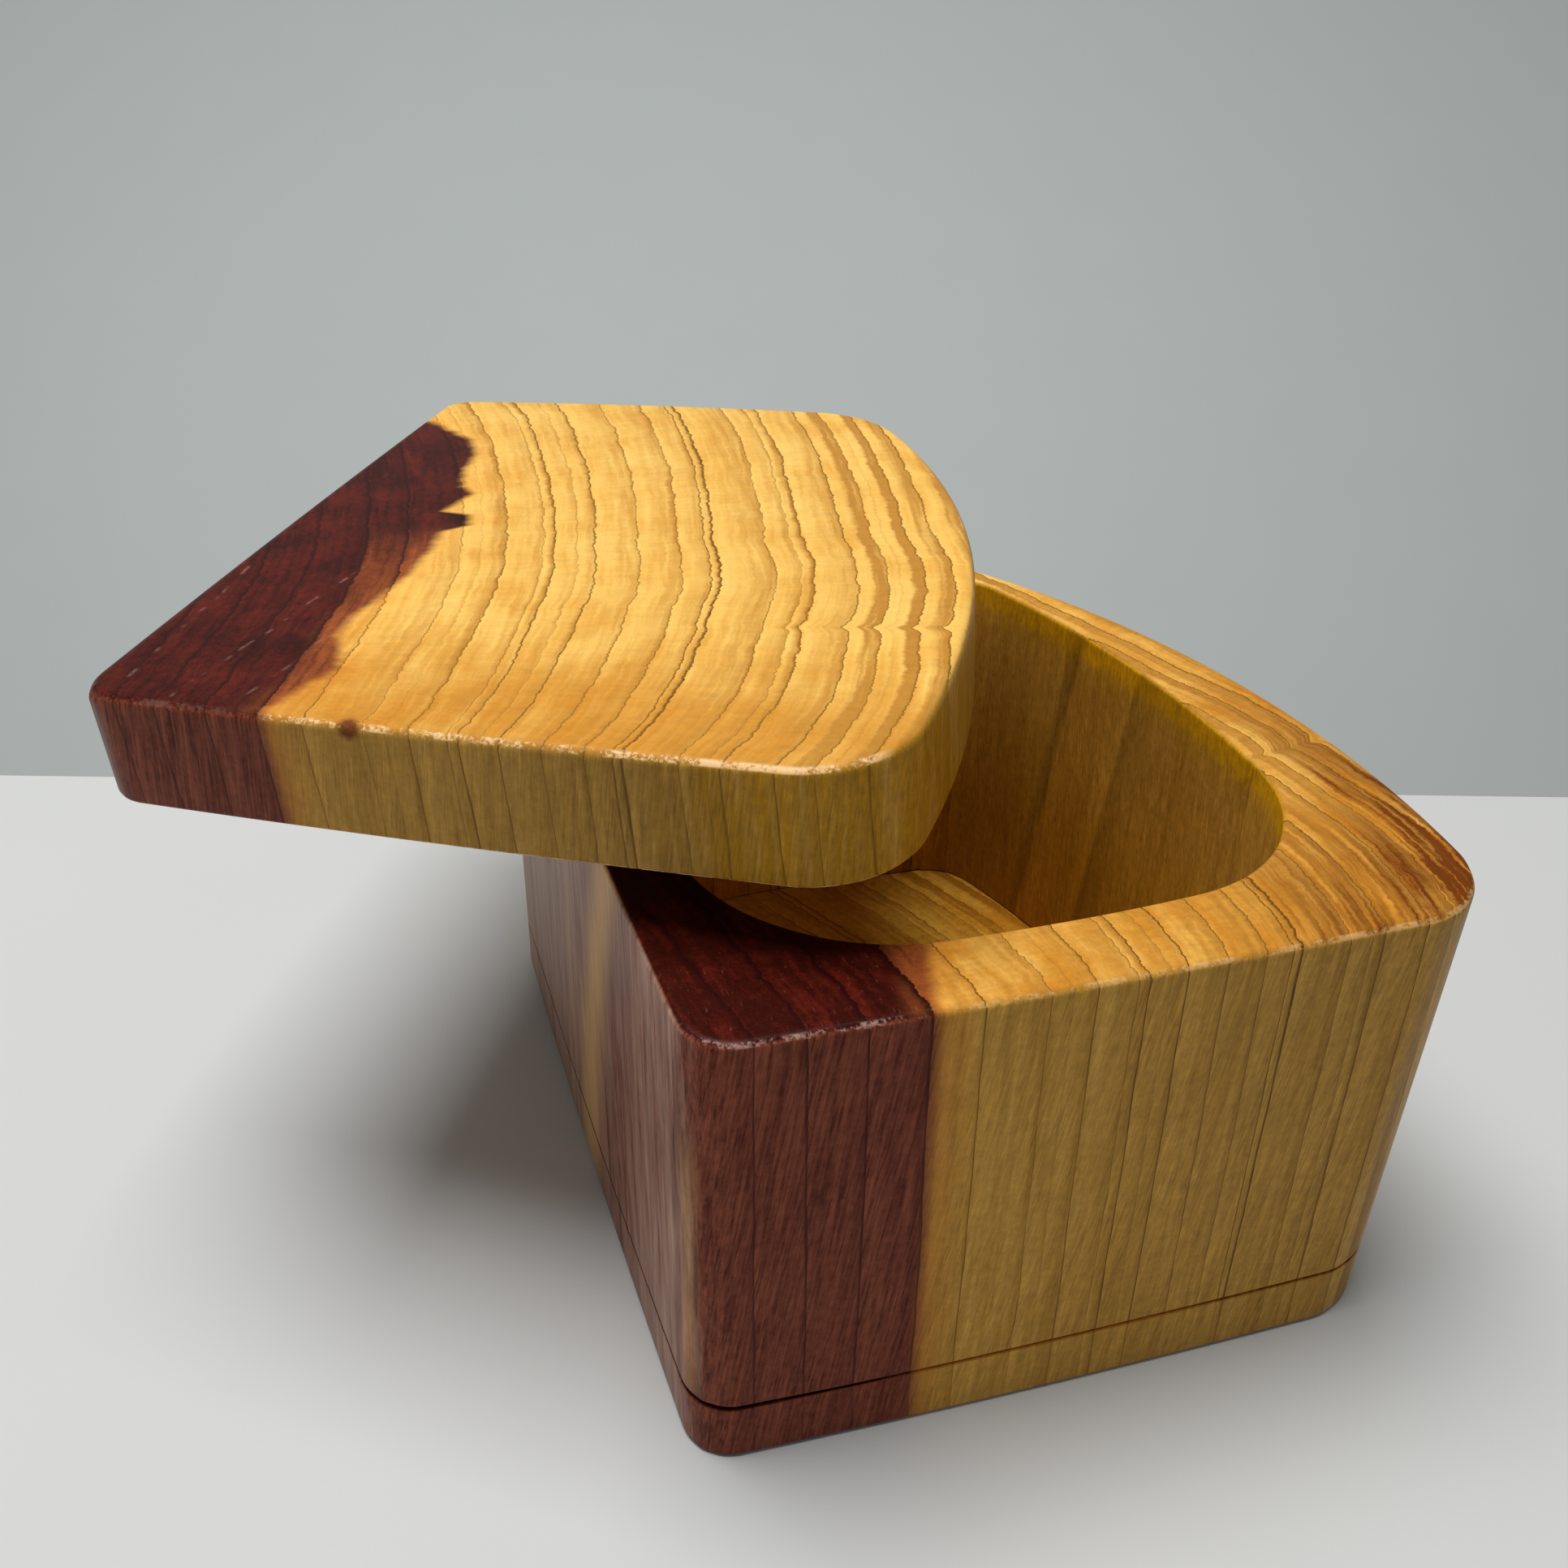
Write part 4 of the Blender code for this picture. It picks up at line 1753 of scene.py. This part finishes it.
@dataclass(frozen=True)
class Lamp:
    """Soft square lamp aimed at the box."""

    name: str = "window"
    place: Point = (-0.19, 0.03, 1.00)
    size: float = 0.56
    power: float = 10.7
    aim: Point = (0.0, 0.0, 0.05)

    def build(self) -> None:
        """Add the lamp."""
        data = bpy.data.lights.new(self.name, "AREA")
        data.size = self.size
        data.energy = self.power
        lamp = bpy.data.objects.new(self.name, data)
        lamp.location = self.place
        towards = Vector(self.aim) - Vector(self.place)
        lamp.rotation_euler = towards.to_track_quat("-Z", "Y").to_euler()
        bpy.context.scene.collection.objects.link(lamp)


@dataclass(frozen=True)
class Studio:
    """Pale table, a leaning backdrop some way behind it, a soft lamp and the world."""

    table_color: Color = (0.590, 0.597, 0.587)
    backdrop_color: Color = (0.600, 0.640, 0.620)
    darker: float = 0.97
    mottles: float = 25.0
    roughness: float = 0.7
    edge_left: Span = (-0.1839, 0.0953)
    edge_right: Span = (0.1574, 0.1023)
    reach: float = 1.6
    backdrop_low: Span = (0.25, -0.42)
    backdrop_high: Span = (1.30, 0.50)
    table_drop: float = 0.0001
    world_color: Color = (0.97, 0.99, 1.0)
    world_strength: float = 0.22

    def sheet(self, name: str, corners: Sequence[Point], color: Color) -> None:
        """Add a flat sheet of the stage.

        Args:
            name: name of the sheet.
            corners: its four corners, in the order of Blender's plane.
            color: its colour.
        """
        clear_selection()
        bpy.ops.mesh.primitive_plane_add(size=1)
        sheet = bpy.context.object
        sheet.name = name
        for vertex, corner in zip(sheet.data.vertices, corners):
            vertex.co = corner
        colors = (color, tuple(part * self.darker for part in color))
        material = plain_material(name, colors, self.mottles, self.roughness)
        sheet.data.materials.append(material)

    def build(self) -> None:
        """Build the stage and its light."""
        left, right = Vector(self.edge_left), Vector(self.edge_right)
        along = (right - left).normalized()
        towards = Vector((along.y, -along.x))
        ends = (left - along * self.reach, right + along * self.reach)

        def row(gap: float, height: float) -> list[Point]:
            """Give two corners at a distance behind the table's far edge."""
            return [(*(end - towards * gap), height) for end in ends]

        table = row(-self.reach * 2, -self.table_drop) + row(0, -self.table_drop)
        self.sheet("table", table, self.table_color)
        backdrop = row(*self.backdrop_low) + row(*self.backdrop_high)
        self.sheet("backdrop", backdrop, self.backdrop_color)
        Lamp().build()
        world = bpy.data.worlds.new("studio")
        world.use_nodes = True
        sky = world.node_tree.nodes["Background"]
        sky.inputs["Color"].default_value = (*self.world_color, 1)
        sky.inputs["Strength"].default_value = self.world_strength
        bpy.context.scene.world = world
        bpy.context.scene.view_settings.view_transform = "Standard"


def finishes(lid_pose: tuple[Vector, Euler]) -> dict[WoodSlot, Finish]:
    """Give the finish of each wood.

    Args:
        lid_pose: place and turn of the lid and its plug.

    Returns:
        Finishes by slot.
    """
    return {
        WoodSlot.BODY: Finish(
            "waxed_cedar_body", edge_wear_and_highlight=0.4, heart_edge_highlight=0.75, ripeness=0.38, band_share=1.6,
            front_ripeness=0.42, line_share=1.25, painted_reflection=True,
        ),
        WoodSlot.BASE: Finish("waxed_cedar_base", ripeness=0.7, line_share=0.6, painted_reflection=True),
        WoodSlot.LID: Finish(
            "waxed_cedar_lid", sheen=0.25, pose=lid_pose, edge_wear_and_highlight=1.0, heart_edge_highlight=0.15,
            marks=True, front_ripeness=0.9, side_level=0.82,
        ),
        WoodSlot.CORE: Finish("bare_core", roughness=0.6, pose=lid_pose),
    }


def main() -> None:
    """Build the box piece by piece, then its setting."""
    logging.basicConfig(level=logging.INFO, format="%(name)s: %(message)s")
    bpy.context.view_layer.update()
    Camera().build()
    shape = BlockShape()
    body_low, body_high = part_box("body")
    box = Box(shape, body_high.z, body_low.z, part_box("base_slice")[1].z)
    lid = Lid(shape, body_high.z)
    block_top = (body_high.z + lid.thickness) * PER_METRE
    woods = {}
    for slot, finish in finishes(lid.block_pose()).items():
        woods[slot] = CedarWood(finish, shape, block_top).material
    glue_colors = ((0.020, 0.008, 0.003), (0.045, 0.020, 0.007))
    glue = plain_material("dried_glue", glue_colors, fineness=900.0, rough=0.5, uneven=0.2)
    box.build(woods, glue)
    lid.build(woods)

    Studio().build()
    clear_selection()


if __name__ == "__main__":
    main()
